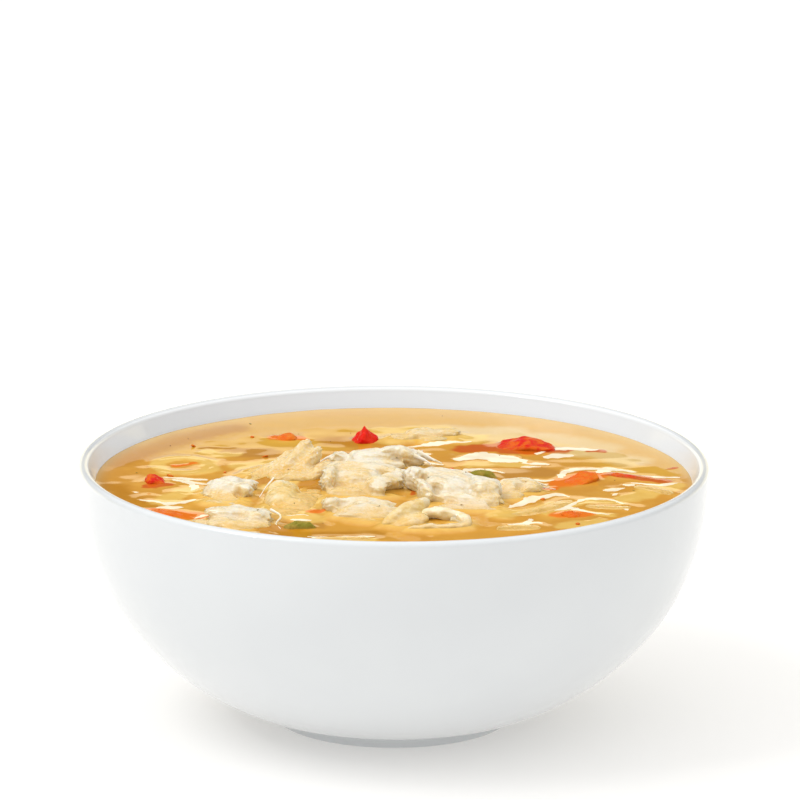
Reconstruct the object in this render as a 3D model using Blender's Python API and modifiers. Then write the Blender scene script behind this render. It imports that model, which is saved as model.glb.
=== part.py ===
"""Chicken noodle soup in its round white bowl.

One object for each piece: the bowl, the broth, and every chunk of chicken, noodle and vegetable that
floats in it. The broth fills the bowl up to its level and is cut round each piece. The origin is on
the table, at the middle of the bowl's foot, with +Z up and +X to the diner's right. The sizes below
are in millimetres, and every mesh is made in metres.
"""

import math

import bmesh
import bpy
from mathutils import Euler, Vector, noise

MM = 0.001
GAP = 0.35  # clearance between neighbouring pieces
MERGE = 0.00005  # metres, the merge distance of the turned shapes

# Bowl
RIM_RADIUS = 79.2
RIM_HEIGHT = 66.3
LIP_RADIUS = 1.4  # of the round lip
BODY_RADIUS = 79.0  # the widest place under the lip
BODY_TOP = 64.8  # height where the body curve ends
FOOT_RADIUS = 30.2
FOOT_HEIGHT = 3.2
FOOT_INNER_RADIUS = 25.4
FOOT_RECESS = 2.2
FOOT_ROUNDING = 0.5
FOOT_FLARE = 0.5
RECESS_SLOPE = 1.2
BODY_START_RADIUS = 32.4  # where the body leaves the foot
FLOOR_HEIGHT = 8.0
FLOOR_RADIUS = 30.0
INNER_RADIUS = 74.9  # of the inner wall under the lip
SWELL = 2.3  # the two exponents of the body's curve
FLARE = 1.4
LIP_START = 62.0  # height where both sides of the wall turn into the lip
TURN_STEPS = 40
LIP_STEPS = 6
WALL_STEPS = 7

# Broth
LEVEL = 60.6
BROTH_STEPS = 6
SURFACE = Vector((0, 0, LEVEL))

# Pieces
LUMP_SIZE = 6.0  # of the swellings on a chunk
BAND_SQUARENESS = 3.0  # of a noodle's section
BAND_END = 0.55  # width of a noodle's very end, as a share
DICE_BEVEL = 0.16  # as a share of the block
DICE_LUMP_SIZE = 4.0
DICE_LUMPS = 0.16

COLOURS = {
    "porcelain": ((0.80, 0.81, 0.82), 0.12),
    "broth": ((0.66, 0.38, 0.09), 0.10),
    "chicken": ((0.86, 0.80, 0.62), 0.45),
    "noodle": ((0.84, 0.68, 0.32), 0.25),
    "carrot": ((0.85, 0.24, 0.03), 0.30),
    "pepper": ((0.76, 0.06, 0.02), 0.25),
    "celery": ((0.33, 0.28, 0.06), 0.30),
}


def clear_scene():
    for item in list(bpy.data.objects):
        bpy.data.objects.remove(item, do_unlink=True)


def make_collection(name):
    collection = bpy.data.collections.new(name)
    bpy.context.scene.collection.children.link(collection)
    return collection


def make_material(name):
    colour, roughness = COLOURS[name]
    material = bpy.data.materials.new(name)
    material.use_nodes = True
    shader = material.node_tree.nodes["Principled BSDF"]
    shader.inputs["Base Color"].default_value = (*colour, 1.0)
    shader.inputs["Roughness"].default_value = roughness
    shader.inputs["Metallic"].default_value = 0.0
    return material


def add_object(name, mesh, material, collection):
    piece = bpy.data.objects.new(name, mesh)
    piece.data.materials.append(material)
    collection.objects.link(piece)
    return piece


# Turned shapes


def body_curve(height, start_radius, start_height, end_radius):
    """Radius of the bowl's wall at a height, quick to spread at first and upright at the top."""
    way = (height - start_height) / (BODY_TOP - start_height)
    spread = (1 - (1 - way) ** SWELL) ** (1 / FLARE)
    return start_radius + (end_radius - start_radius) * spread


def outer_radius(height):
    return body_curve(height, BODY_START_RADIUS, FOOT_HEIGHT, BODY_RADIUS)


def inner_radius(height):
    return body_curve(height, FLOOR_RADIUS, FLOOR_HEIGHT, INNER_RADIUS)


def spread_heights(low, high, count):
    """Heights from low to high, closer together near the low end where the wall turns most."""
    return [low + (high - low) * (step / count) ** 1.6 for step in range(count + 1)]


def turned_mesh(name, profile):
    """Turn a profile of (radius, height) points round the upright axis."""
    outline = bmesh.new()
    points = [outline.verts.new((radius * MM, 0, height * MM)) for radius, height in profile]
    for first, second in zip(points, points[1:]):
        outline.edges.new((first, second))
    mesh = bpy.data.meshes.new(name)
    outline.to_mesh(mesh)
    outline.free()
    return mesh


def add_screw(piece, smooth):
    screw = piece.modifiers.new("Turn", "SCREW")
    screw.steps = TURN_STEPS
    screw.render_steps = TURN_STEPS
    screw.use_merge_vertices = True
    screw.merge_threshold = MERGE
    screw.use_smooth_shade = smooth


def make_bowl(material, collection):
    inside = [(0, FLOOR_HEIGHT)]
    for height in spread_heights(FLOOR_HEIGHT, LIP_START, WALL_STEPS):
        inside.append((inner_radius(height), height))
    lip_centre = (RIM_RADIUS - LIP_RADIUS, RIM_HEIGHT - LIP_RADIUS)
    lip = []
    for step in range(LIP_STEPS + 1):
        angle = math.pi * (1 - step / LIP_STEPS)
        radius = lip_centre[0] + LIP_RADIUS * math.cos(angle)
        lip.append((radius, lip_centre[1] + LIP_RADIUS * math.sin(angle)))
    outside = []
    for height in reversed(spread_heights(FOOT_HEIGHT, LIP_START, WALL_STEPS)):
        outside.append((outer_radius(height), height))
    foot = [
        (FOOT_RADIUS + FOOT_FLARE, FOOT_HEIGHT - FOOT_FLARE),
        (FOOT_RADIUS, FOOT_ROUNDING),
        (FOOT_RADIUS - FOOT_ROUNDING, 0),
        (FOOT_INNER_RADIUS + FOOT_ROUNDING, 0),
        (FOOT_INNER_RADIUS, FOOT_ROUNDING),
        (FOOT_INNER_RADIUS - RECESS_SLOPE, FOOT_RECESS),
        (0, FOOT_RECESS),
    ]
    mesh = turned_mesh("bowl", inside + lip + outside + foot)
    bowl = add_object("bowl", mesh, material, collection)
    add_screw(bowl, smooth=True)
    return bowl


def make_broth(material, collection, cutters):
    """The broth, a clearance inside the bowl, cut round every piece that floats in it."""
    wall = [(0, LEVEL)]
    for height in reversed(spread_heights(FLOOR_HEIGHT + GAP, LEVEL, BROTH_STEPS)):
        wall.append((inner_radius(max(height - GAP, FLOOR_HEIGHT)) - GAP, height))
    wall.append((0, FLOOR_HEIGHT + GAP))
    broth = add_object("broth", turned_mesh("broth", wall), material, collection)
    add_screw(broth, smooth=False)
    for cutter in cutters:
        # EXACT drops the whole broth where the rooms of close neighbours run into each other.
        carve(broth, cutter, solver="MANIFOLD")
    return broth


# Pieces in the broth


def skin_rings(name, rings, tips):
    """A closed mesh over rings of points, ended by a point at each tip."""
    shape = bmesh.new()
    loops = [[shape.verts.new(point * MM) for point in ring] for ring in rings]
    for near, far in zip(loops, loops[1:]):
        for side in range(len(near)):
            after = (side + 1) % len(near)
            shape.faces.new((near[side], near[after], far[after], far[side]))
    for loop, tip in ((loops[0], tips[0]), (loops[-1], tips[1])):
        end = shape.verts.new(tip * MM)
        for side in range(len(loop)):
            shape.faces.new((loop[side], loop[(side + 1) % len(loop)], end))
    bmesh.ops.recalc_face_normals(shape, faces=shape.faces)
    bmesh.ops.triangulate(shape, faces=shape.faces)  # so that a piece and its cutter fold alike
    mesh = bpy.data.meshes.new(name)
    shape.to_mesh(mesh)
    shape.free()
    mesh.shade_smooth()
    return mesh


def superellipse(angle, squareness):
    """A point of a unit circle pressed towards a square."""
    across = math.copysign(abs(math.cos(angle)) ** (2 / squareness), math.cos(angle))
    upward = math.copysign(abs(math.sin(angle)) ** (2 / squareness), math.sin(angle))
    return across, upward


def end_rounding(way, squareness):
    """1 along the middle of a piece, falling to 0 at both of its ends."""
    return max(0.0, 1 - abs(2 * way - 1) ** squareness) ** (1 / squareness)


def route(start, heading, length, bend, stations):
    """Points and directions along a flat curve that turns evenly by bend degrees."""
    angle = math.radians(heading)
    turn = math.radians(bend) / stations
    step = length / stations
    place = Vector((start[0], start[1], 0))
    course = []
    for _ in range(stations + 1):
        course.append((place.copy(), angle))
        angle += turn / 2
        place += Vector((math.cos(angle), math.sin(angle), 0)) * step
        angle += turn / 2
    return course


def make_chunk(name, middle, length, width, rise, sink, heading, slope=0.0, lumps=0.12, seed=0,
               stations=8, sides=10, ends=2.5, section=2.5, fingers=0, cleft=0.0):
    """A torn chunk: lumpy, with its length along its heading and its waterline at its widest place.

    rise and sink are its height above the broth and its depth under it, and slope lowers the top
    towards the far end, as a share of the whole. fingers part the top by clefts, where the meat was
    pulled from the bone.
    """
    angle = math.radians(heading)
    along = Vector((math.cos(angle), math.sin(angle), 0))
    start = Vector((*middle, 0)) - along * length / 2
    rings = []
    across = Vector((-math.sin(angle), math.cos(angle), 0))
    for index in range(1, stations):
        way = index / stations
        place = start + along * length * way
        fullness = end_rounding(way, ends)
        parting = 1 - cleft * math.cos(math.pi * fingers * way) ** 2
        ring = []
        for side in range(sides):
            x, z = superellipse(2 * math.pi * side / sides, section)
            height = rise * (1 - slope * way) * parting if z > 0 else sink
            shift = across * x * width / 2 * fullness
            lift = Vector((0, 0, z * height * fullness))
            point = place + shift + lift
            swell = noise.noise(point / LUMP_SIZE + Vector((seed * 7.3, seed * 3.1, 0)))
            ring.append(place + (shift + lift) * (1 + lumps * 2 * swell) + SURFACE)
        rings.append(ring)
    return skin_rings(name, rings, (start + SURFACE, start + along * length + SURFACE))


def make_ribbon(name, start, heading, length, bend, width, thick, depth, arch=0.0, roll=0.0,
                twist=0.0, stations=9, sides=6):
    """A noodle: a flat band along a curve, its ends blunt.

    depth is the height of its ends against the broth, arch lifts its middle above them, roll tips the
    band about its own length and twist changes that tip from one end to the other, in degrees.
    """
    course = route(start, heading, length, bend, stations)
    rings = []
    for index, (place, turned) in enumerate(course):
        way = index / stations
        blunt = BAND_END if index in (0, stations) else 1.0
        tip = math.radians(roll + twist * way)
        flat = Vector((-math.sin(turned), math.cos(turned), 0))
        across = flat * math.cos(tip) + Vector((0, 0, math.sin(tip)))
        upward = Vector((0, 0, math.cos(tip))) - flat * math.sin(tip)
        centre = place + Vector((0, 0, LEVEL + depth + arch * math.sin(math.pi * way)))
        ring = []
        for side in range(sides):
            x, z = superellipse(2 * math.pi * (side + 0.5) / sides, BAND_SQUARENESS)
            ring.append(centre + across * x * width / 2 * blunt + upward * z * thick / 2 * blunt)
        rings.append(ring)
    ends = []
    for ring, (_, turned), side in ((rings[0], course[0], -1), (rings[-1], course[-1], 1)):
        middle = sum(ring, Vector()) / len(ring)
        ends.append(middle + Vector((math.cos(turned), math.sin(turned), 0)) * side * thick * 0.3)
    return skin_rings(name, rings, ends)


def make_dice(name, middle, size, turn, height, pinch=0.0, seed=0):
    """A cut of vegetable: a block with eased edges, turned as it floats.

    height is its middle against the broth, and pinch narrows its far end.
    """
    block = bmesh.new()
    bmesh.ops.create_cube(block, size=1.0)
    bmesh.ops.bevel(
        block,
        geom=block.edges[:] + block.verts[:],
        offset=DICE_BEVEL,
        segments=1,
        affect="EDGES",
    )
    rotation = Euler([math.radians(angle) for angle in turn]).to_matrix()
    place = Vector((*middle, LEVEL + height))
    for vertex in block.verts:
        point = Vector(vertex.co)
        narrow = 1 - pinch * (point.x + 0.5)
        scaled = Vector((point.x * size[0], point.y * size[1] * narrow, point.z * size[2] * narrow))
        swell = noise.noise(scaled / DICE_LUMP_SIZE + Vector((seed * 5.7, 0, seed * 2.9)))
        vertex.co = (place + rotation @ (scaled * (1 + DICE_LUMPS * swell))) * MM
    bmesh.ops.triangulate(block, faces=block.faces)
    mesh = bpy.data.meshes.new(name)
    block.to_mesh(mesh)
    block.free()
    mesh.shade_smooth()
    return mesh


def add_cutter(name, mesh, collection):
    """A copy of a piece's mesh, larger by the clearance all round, to cut its neighbours with."""
    cutter = bpy.data.objects.new(f"{name}_cutter", mesh.copy())
    collection.objects.link(cutter)
    outset = cutter.modifiers.new("Outset", "DISPLACE")
    outset.strength = GAP * MM
    outset.mid_level = 0.0
    cutter.hide_render = True
    cutter.display_type = "WIRE"
    return cutter


def carve(piece, cutter, solver="EXACT"):
    """Cut a piece clear of a neighbour."""
    cut = piece.modifiers.new(f"Clear of {cutter.name}", "BOOLEAN")
    cut.operation = "DIFFERENCE"
    cut.solver = solver
    cut.object = cutter


# The contents, laid out. Places are (x, y) on the broth, and the diner sits at -Y.

CHICKEN = {
    "chicken_main": dict(middle=(-8.0, -5.8), length=23.5, width=17.5, rise=7.2, sink=6, heading=-8,
                         slope=0.30, ends=3.4, section=3.0, lumps=0.08, seed=1, stations=9, sides=12),
    "chicken_right": dict(middle=(15.5, -15.8), length=29, width=14.0, rise=6.3, sink=6, heading=-27,
                          slope=0.12, ends=3.0, lumps=0.16, seed=2, stations=9, sides=12),
    "chicken_back": dict(middle=(-3.0, 14.5), length=25, width=11.5, rise=5.4, sink=5, heading=2,
                         lumps=0.18, seed=3),
    "chicken_flat": dict(middle=(-7.5, -31.5), length=24, width=12.0, rise=4.6, sink=4, heading=-6,
                         slope=0.12, ends=3.0, lumps=0.10, seed=4),
    "chicken_left": dict(middle=(-41.0, -15.2), length=14.5, width=14, rise=5.0, sink=5, heading=-20,
                         ends=3.0, lumps=0.08, seed=5),
    "chicken_near": dict(middle=(-38.5, -42.0), length=22, width=15, rise=4.8, sink=5, heading=-8,
                         lumps=0.16, seed=6),
    "chicken_crumb": dict(middle=(32.0, -10.0), length=13, width=9.5, rise=3.6, sink=4, heading=15,
                          lumps=0.20, seed=7),
    "chicken_far": dict(middle=(10.5, 43.0), length=15, width=12, rise=1.3, sink=4, heading=25,
                        lumps=0.16, seed=8),
    "chicken_shred": dict(middle=(15.8, -39.5), length=8.5, width=7.5, rise=3.0, sink=3, heading=-20,
                          lumps=0.18, seed=9, stations=7, sides=10),
    "chicken_crest": dict(middle=(-28.0, 10.5), length=25, width=12, rise=3.4, sink=4.5, heading=24,
                          slope=-1.9, lumps=0.10, seed=10, stations=14, fingers=5, cleft=0.30),
}

NOODLES = {
    "noodle_dome": dict(start=(-26.0, -10.0), heading=-88, length=22, bend=-8, width=11, thick=2.2,
                        depth=-3.2, arch=7.8),
    "noodle_fold": dict(start=(-2.0, -42.5), heading=8, length=15, bend=75, width=6.5, thick=2.0,
                        depth=1.4, roll=52, twist=-10),
    "noodle_arch": dict(start=(3.2, -45.5), heading=12, length=11.5, bend=-10, width=6.5, thick=1.7,
                        depth=-1.0, arch=3.6),
    "noodle_ring": dict(start=(-61.0, 12.0), heading=-70, length=42, bend=318, width=4.2, thick=2.0,
                        depth=-0.7, stations=15),
    "noodle_loop": dict(start=(-61.6, -15.0), heading=-120, length=32, bend=295, width=3.2, thick=2.0,
                        depth=-0.7, stations=14),
    "noodle_right": dict(start=(25.5, -34.0), heading=18, length=27, bend=52, width=5.6, thick=1.8,
                         depth=-0.4, arch=0.7),
    "noodle_side": dict(start=(46.2, -22.2), heading=-36, length=14, bend=60, width=4.6, thick=1.7,
                        depth=-0.4, arch=0.5),
    "noodle_near": dict(start=(24.0, -44.5), heading=-2, length=13, bend=18, width=6.0, thick=1.7,
                        depth=-0.4, arch=0.6),
    "noodle_edge": dict(start=(59.5, -3.0), heading=-28, length=14.5, bend=-30, width=4.6, thick=1.7,
                        depth=-0.5, arch=0.7),
    "noodle_front": dict(start=(-21.0, -56.0), heading=-6, length=17, bend=22, width=5.4, thick=1.7,
                         depth=-0.3, arch=0.6),
}

CARROTS = {
    "carrot_far": dict(middle=(-28.6, 42.6), size=(7.4, 6.0, 5.0), turn=(6, -8, 8), height=-1.4, seed=1),
    "carrot_left": dict(middle=(-53.5, -33.5), size=(15.0, 6.5, 4.0), turn=(-8, 4, -24), height=-1.0,
                        pinch=0.25, seed=2),
    "carrot_right": dict(middle=(46.8, 1.4), size=(9.4, 7.8, 5.4), turn=(24, -12, 38), height=0.6,
                         pinch=0.2, seed=3),
    "carrot_near": dict(middle=(43.8, -32.0), size=(5.6, 5.2, 4.0), turn=(10, 12, 20), height=-0.7,
                        seed=4),
}

PEPPERS = {
    "pepper_far": dict(middle=(-7.5, 40.6), size=(6.2, 6.2, 5.6), turn=(42, 34, 20), height=0.1, seed=5),
    "pepper_left": dict(middle=(-59.8, -2.6), size=(5.2, 4.6, 2.8), turn=(14, 12, 12), height=0.0,
                        seed=6),
    "pepper_right": dict(middle=(34.0, 34.4), size=(15.6, 9.0, 4.4), turn=(16, -7, -14), height=0.9,
                         pinch=0.3, seed=7),
    "pepper_strip": dict(middle=(61.0, 4.6), size=(13.5, 3.4, 3.0), turn=(10, 6, -26), height=-0.6,
                         pinch=0.35, seed=8),
}

CELERY = {
    "celery_near": dict(start=(-26.8, -46.6), heading=38, length=8.4, bend=-60, width=3.4, thick=2.6,
                        depth=-0.5, stations=6),
    "celery_middle": dict(start=(18.8, 3.2), heading=32, length=7.0, bend=-58, width=3.4, thick=3.0,
                          depth=0.2, stations=6),
}

LEANS_ON = {
    "carrot_left": ["chicken_near"],
    "chicken_right": ["chicken_main"],
    "chicken_flat": ["chicken_main"],
    "noodle_fold": ["chicken_flat"],
    "noodle_arch": ["noodle_fold"],
    "chicken_shred": ["noodle_arch"],
    "chicken_crumb": ["chicken_right"],
    "chicken_crest": ["chicken_main", "chicken_back"],
    "noodle_dome": ["chicken_main", "chicken_left"],
}


def build():
    clear_scene()
    contents = make_collection("chicken_noodle_soup")
    helpers = make_collection("cutters")
    materials = {name: make_material(name) for name in COLOURS}

    shapes = {name: make_chunk(name, **sizes) for name, sizes in CHICKEN.items()}
    shapes.update({name: make_ribbon(name, **sizes) for name, sizes in (NOODLES | CELERY).items()})
    shapes.update({name: make_dice(name, **sizes) for name, sizes in (CARROTS | PEPPERS).items()})
    pieces = {}
    cutters = {}
    for name, mesh in shapes.items():
        pieces[name] = add_object(name, mesh, materials[name.split("_")[0]], contents)
        cutters[name] = add_cutter(name, mesh, helpers)
    for name, supports in LEANS_ON.items():
        for support in supports:
            carve(pieces[name], cutters[support])

    make_bowl(materials["porcelain"], contents)
    make_broth(materials["broth"], contents, cutters.values())


build()
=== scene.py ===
# %% [markdown]
# # A bowl of chicken noodle soup
# This lesson dresses the plain solids of a bowl of soup: a white porcelain bowl, a creamy yellow broth,
# torn chicken, egg noodles, carrot, red pepper and celery. The solids give every size and place. Each
# step says what the piece is on the real dish, how it could be made, and why it is made this way.

# %% Load the frame
import math

import bmesh
import bpy
import numpy as np
from mathutils import Matrix, Vector, noise
from mathutils.bvhtree import BVHTree


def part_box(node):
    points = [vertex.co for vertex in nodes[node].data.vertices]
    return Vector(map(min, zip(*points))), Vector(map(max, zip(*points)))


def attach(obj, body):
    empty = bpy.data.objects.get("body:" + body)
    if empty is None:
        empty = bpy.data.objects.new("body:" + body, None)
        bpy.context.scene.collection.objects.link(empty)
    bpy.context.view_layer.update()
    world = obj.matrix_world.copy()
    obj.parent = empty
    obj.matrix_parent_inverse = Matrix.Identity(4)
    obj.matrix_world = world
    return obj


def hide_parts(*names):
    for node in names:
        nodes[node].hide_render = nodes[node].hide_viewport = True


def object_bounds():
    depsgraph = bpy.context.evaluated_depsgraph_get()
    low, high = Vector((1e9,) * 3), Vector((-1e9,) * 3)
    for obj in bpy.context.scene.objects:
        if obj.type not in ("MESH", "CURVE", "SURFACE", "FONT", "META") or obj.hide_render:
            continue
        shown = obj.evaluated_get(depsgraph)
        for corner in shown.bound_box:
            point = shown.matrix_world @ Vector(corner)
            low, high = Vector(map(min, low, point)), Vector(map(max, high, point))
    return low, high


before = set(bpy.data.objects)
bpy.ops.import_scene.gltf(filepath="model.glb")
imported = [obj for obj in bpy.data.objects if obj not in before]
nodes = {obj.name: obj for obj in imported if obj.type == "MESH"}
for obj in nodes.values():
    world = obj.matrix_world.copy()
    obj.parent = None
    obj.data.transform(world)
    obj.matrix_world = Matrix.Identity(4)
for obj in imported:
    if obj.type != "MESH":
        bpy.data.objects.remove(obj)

plain_box = [list(corner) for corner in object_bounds()]
print("plain model from", plain_box[0], "to", plain_box[1])

# %% [markdown]
# ## Sizes
# The broth's level and the bowl's rim set everything else, so they are read from the solids. A
# millimetre is the handy unit in a kitchen, and Blender's unit is the metre.

# %% Sizes read from the solids
MM = 0.001
bowl_low, bowl_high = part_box("bowl")
broth_low, broth_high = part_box("broth")
RIM_RADIUS = bowl_high[0]
RIM_HEIGHT = bowl_high[2]
LEVEL = broth_high[2]
BROTH_RADIUS = broth_high[0]
print(f"rim {RIM_RADIUS / MM:.1f} mm, height {RIM_HEIGHT / MM:.1f} mm, level {LEVEL / MM:.1f} mm")

# %% [markdown]
# ## Small helpers
# An operator acts on whatever is selected, so every piece starts with a clean selection. A finished
# piece keeps its place in its mesh, with its object at the origin.


# %% Selection and finishing helpers
def pick(*pieces):
    """Select only these pieces, the last of them active."""
    if bpy.context.object and bpy.context.object.mode != "OBJECT":
        bpy.ops.object.mode_set(mode="OBJECT")
    bpy.ops.object.select_all(action="DESELECT")
    for piece in pieces:
        piece.hide_set(False)
        piece.select_set(True)
    bpy.context.view_layer.objects.active = pieces[-1]


def settle(piece):
    """Put a piece's place, turn and scale into its mesh."""
    pick(piece)
    bpy.ops.object.transform_apply(location=True, rotation=True, scale=True)


def apply_all(piece):
    """Apply a piece's modifiers, first to last."""
    pick(piece)
    for modifier in list(piece.modifiers):
        bpy.ops.object.modifier_apply(modifier=modifier.name)


def rough_copy(node, name):
    """A merged copy of a plain solid, to be worked into a finer piece."""
    pick(nodes[node])
    bpy.ops.object.duplicate()
    piece = bpy.context.object
    piece.name = name
    piece.data.name = name
    bpy.ops.object.mode_set(mode="EDIT")
    bpy.ops.mesh.select_all(action="SELECT")
    bpy.ops.mesh.remove_doubles(threshold=0.00001)
    bpy.ops.object.mode_set(mode="OBJECT")
    return piece


def place(piece, node):
    """Hang a piece under the root and hide the solid it stands for."""
    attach(piece, "root")
    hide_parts(node)


def from_srgb(red, green, blue):
    """A colour as a paint card gives it, 0 to 255, in the linear values that shaders use."""
    shares = [value / 255 for value in (red, green, blue)]
    linear = [s / 12.92 if s < 0.04045 else ((s + 0.055) / 1.055) ** 2.4 for s in shares]
    return (*linear, 1.0)


def points_of(piece):
    points = np.empty(len(piece.data.vertices) * 3)
    piece.data.vertices.foreach_get("co", points)
    return points.reshape(-1, 3)


def set_points(piece, points):
    piece.data.vertices.foreach_set("co", points.ravel())
    piece.data.update()


print("helpers ready")

# %% [markdown]
# ## Camera
# The bowl is seen from the diner's side, a little above the rim. A long lens a metre and a half away
# keeps the rim's ellipse flat. The camera comes first, so that every later step can be checked in it.

# %% Camera
CAMERA_DISTANCE = 1.469
CAMERA_ELEVATION = math.radians(14.52)
AIM_HEIGHT = 0.0817
CAMERA_ROLL = math.radians(0.33)
eye = Vector((
    0,
    -CAMERA_DISTANCE * math.cos(CAMERA_ELEVATION),
    RIM_HEIGHT + CAMERA_DISTANCE * math.sin(CAMERA_ELEVATION),
))
bpy.ops.object.camera_add(location=eye)
camera = bpy.context.object
camera.name = "diner_view"
gaze = (Vector((0, 0, AIM_HEIGHT)) - eye).to_track_quat("-Z", "Y").to_matrix().to_4x4()
camera.matrix_world = Matrix.Translation(eye) @ gaze @ Matrix.Rotation(CAMERA_ROLL, 4, "Z")
camera.data.sensor_width = 36.0
camera.data.lens = 263.7
camera.data.shift_x = 0.00725
camera.data.clip_end = 20.0
bpy.context.scene.camera = camera
bpy.context.scene.view_settings.view_transform = "Standard"
print("camera at", tuple(round(value, 3) for value in camera.location))

# %% [markdown]
# ## Floor and light
# The dish stands on a white sweep. A large soft light hangs to the left, and the room gives even white
# light from above. A low bright card stands behind the bowl: wet surfaces that tilt a little away from
# the diner mirror it, and the flat broth in front only mirrors the darker room above it. That contrast
# is what makes liquid look wet.


# %% Floor
bpy.ops.object.select_all(action="DESELECT")
bpy.ops.mesh.primitive_plane_add(size=6.0, location=(0, 0, 0))
floor = bpy.context.object
floor.name = "floor"
settle(floor)
floor_paint = bpy.data.materials.new("white sweep")
floor_paint.use_nodes = True
floor_tree = floor_paint.node_tree
floor_shader = floor_tree.nodes["Principled BSDF"]
floor_shader.inputs["Base Color"].default_value = (0.70, 0.695, 0.685, 1)
floor_shader.inputs["Roughness"].default_value = 0.9
floor_shader.inputs["Specular IOR Level"].default_value = 0.1
floor_shader.inputs["Emission Color"].default_value = (1.0, 0.98, 0.955, 1)
seen = floor_tree.nodes.new("ShaderNodeLightPath")
glow = floor_tree.nodes.new("ShaderNodeMapRange")
glow.inputs["To Min"].default_value = 0.36
glow.inputs["To Max"].default_value = 0.30
floor_tree.links.new(seen.outputs["Is Camera Ray"], glow.inputs["Value"])
floor_tree.links.new(glow.outputs["Result"], floor_shader.inputs["Emission Strength"])
floor.data.materials.append(floor_paint)


# %% Lights
def soft_light(name, location, target, width, height, power):
    bpy.ops.object.light_add(type="AREA", location=location)
    light = bpy.context.object
    light.name = name
    light.rotation_mode = "QUATERNION"
    aim = Vector(target) - Vector(location)
    light.rotation_quaternion = aim.to_track_quat("-Z", "Y")
    light.data.shape = "RECTANGLE"
    light.data.size = width
    light.data.size_y = height
    light.data.energy = power
    light.visible_camera = False
    return light


soft_light("glint_lamp", (-0.9, -0.6, 0.9), (0, 0, 0.06), 0.03, 0.03, 0.6)
CARD_TOP = 0.162
CARD_HEIGHT = 0.15
soft_light("left_softbox", (-1.1, -0.35, 1.5), (0, 0, 0.05), 0.9, 0.9, 10.0)
card_middle = CARD_TOP - CARD_HEIGHT / 2
card = soft_light("low_card", (0.1, 0.42, card_middle), (0.1, 0, card_middle), 1.6, CARD_HEIGHT, 0.62)
card.data.color = (1.0, 0.94, 0.76)

# %% [markdown]
# The room is a white dome. It is darker in a low band behind the bowl, above the card, because the
# flat broth mirrors that band and would look milky under a bright one.

# %% Room
room = bpy.data.worlds.new("white room")
bpy.context.scene.world = room
room.use_nodes = True
sky = room.node_tree
direction = sky.nodes.new("ShaderNodeTexCoord")
split = sky.nodes.new("ShaderNodeSeparateXYZ")
sky.links.new(direction.outputs["Generated"], split.inputs[0])


def dome_ramp(source, stops):
    """Levels along one axis of the dome, as (place, level, warmth) stops."""
    ramp = sky.nodes.new("ShaderNodeValToRGB")
    while len(ramp.color_ramp.elements) < len(stops):
        ramp.color_ramp.elements.new(0.5)
    for element, (place_on_axis, level, warmth) in zip(ramp.color_ramp.elements, stops):
        element.position = place_on_axis
        element.color = (level, level * (1 - 0.16 * warmth), level * (1 - 0.6 * warmth), 1)
    sky.links.new(source, ramp.inputs["Fac"])
    return ramp.outputs["Color"]


open_dome = dome_ramp(
    split.outputs["Z"], ((0.0, 0.44, 0), (0.3, 0.61, 0), (0.65, 1.09, 0), (1.0, 1.40, 0))
)
back_dome = dome_ramp(
    split.outputs["Z"],
    ((0.0, 0.5, 1), (0.22, 0.5, 1), (0.25, 0.10, 0), (0.40, 0.14, 0), (0.60, 0.92, 0), (1.0, 1.30, 0)),
)
behind = dome_ramp(split.outputs["Y"], ((0.0, 0.0, 0), (0.15, 0.0, 0), (0.5, 1.0, 0)))
blend = sky.nodes.new("ShaderNodeMix")
blend.data_type = "RGBA"
sky.links.new(behind, blend.inputs[0])
sky.links.new(open_dome, blend.inputs[6])
sky.links.new(back_dome, blend.inputs[7])
sky.links.new(blend.outputs[2], sky.nodes["Background"].inputs["Color"])
print("dome ready")

# %% [markdown]
# ## Shader group
# The same effect turns up in every food: a mottled tint. It is a node group with named inputs, used
# by the materials below with their own values.


# %% Mottle group
def new_group(name, inputs, outputs):
    group = bpy.data.node_groups.new(name, "ShaderNodeTree")
    for title, kind, value in inputs:
        socket = group.interface.new_socket(title, in_out="INPUT", socket_type=kind)
        if value is not None:
            socket.default_value = value
    for title, kind in outputs:
        group.interface.new_socket(title, in_out="OUTPUT", socket_type=kind)
    entry = group.nodes.new("NodeGroupInput")
    leave = group.nodes.new("NodeGroupOutput")
    return group, entry, leave


def make_mottle():
    """A soft patchy mask, from 0 to 1, at a named size in millimetres."""
    group, entry, leave = new_group(
        "Mottle",
        [("Vector", "NodeSocketVector", None), ("Size", "NodeSocketFloat", 2.0),
         ("Low", "NodeSocketFloat", 0.4), ("High", "NodeSocketFloat", 0.6),
         ("Detail", "NodeSocketFloat", 3.0)],
        [("Mask", "NodeSocketFloat")],
    )
    links = group.links
    scale = group.nodes.new("ShaderNodeMath")
    scale.operation = "DIVIDE"
    scale.inputs[0].default_value = 1000.0
    links.new(entry.outputs["Size"], scale.inputs[1])
    patches = group.nodes.new("ShaderNodeTexNoise")
    links.new(entry.outputs["Vector"], patches.inputs["Vector"])
    links.new(scale.outputs[0], patches.inputs["Scale"])
    links.new(entry.outputs["Detail"], patches.inputs["Detail"])
    spread = group.nodes.new("ShaderNodeMapRange")
    spread.interpolation_type = "SMOOTHSTEP"
    links.new(patches.outputs["Fac"], spread.inputs["Value"])
    links.new(entry.outputs["Low"], spread.inputs["From Min"])
    links.new(entry.outputs["High"], spread.inputs["From Max"])
    links.new(spread.outputs["Result"], leave.inputs["Mask"])
    return group


mottle = make_mottle()
print("group", mottle.name)


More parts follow.
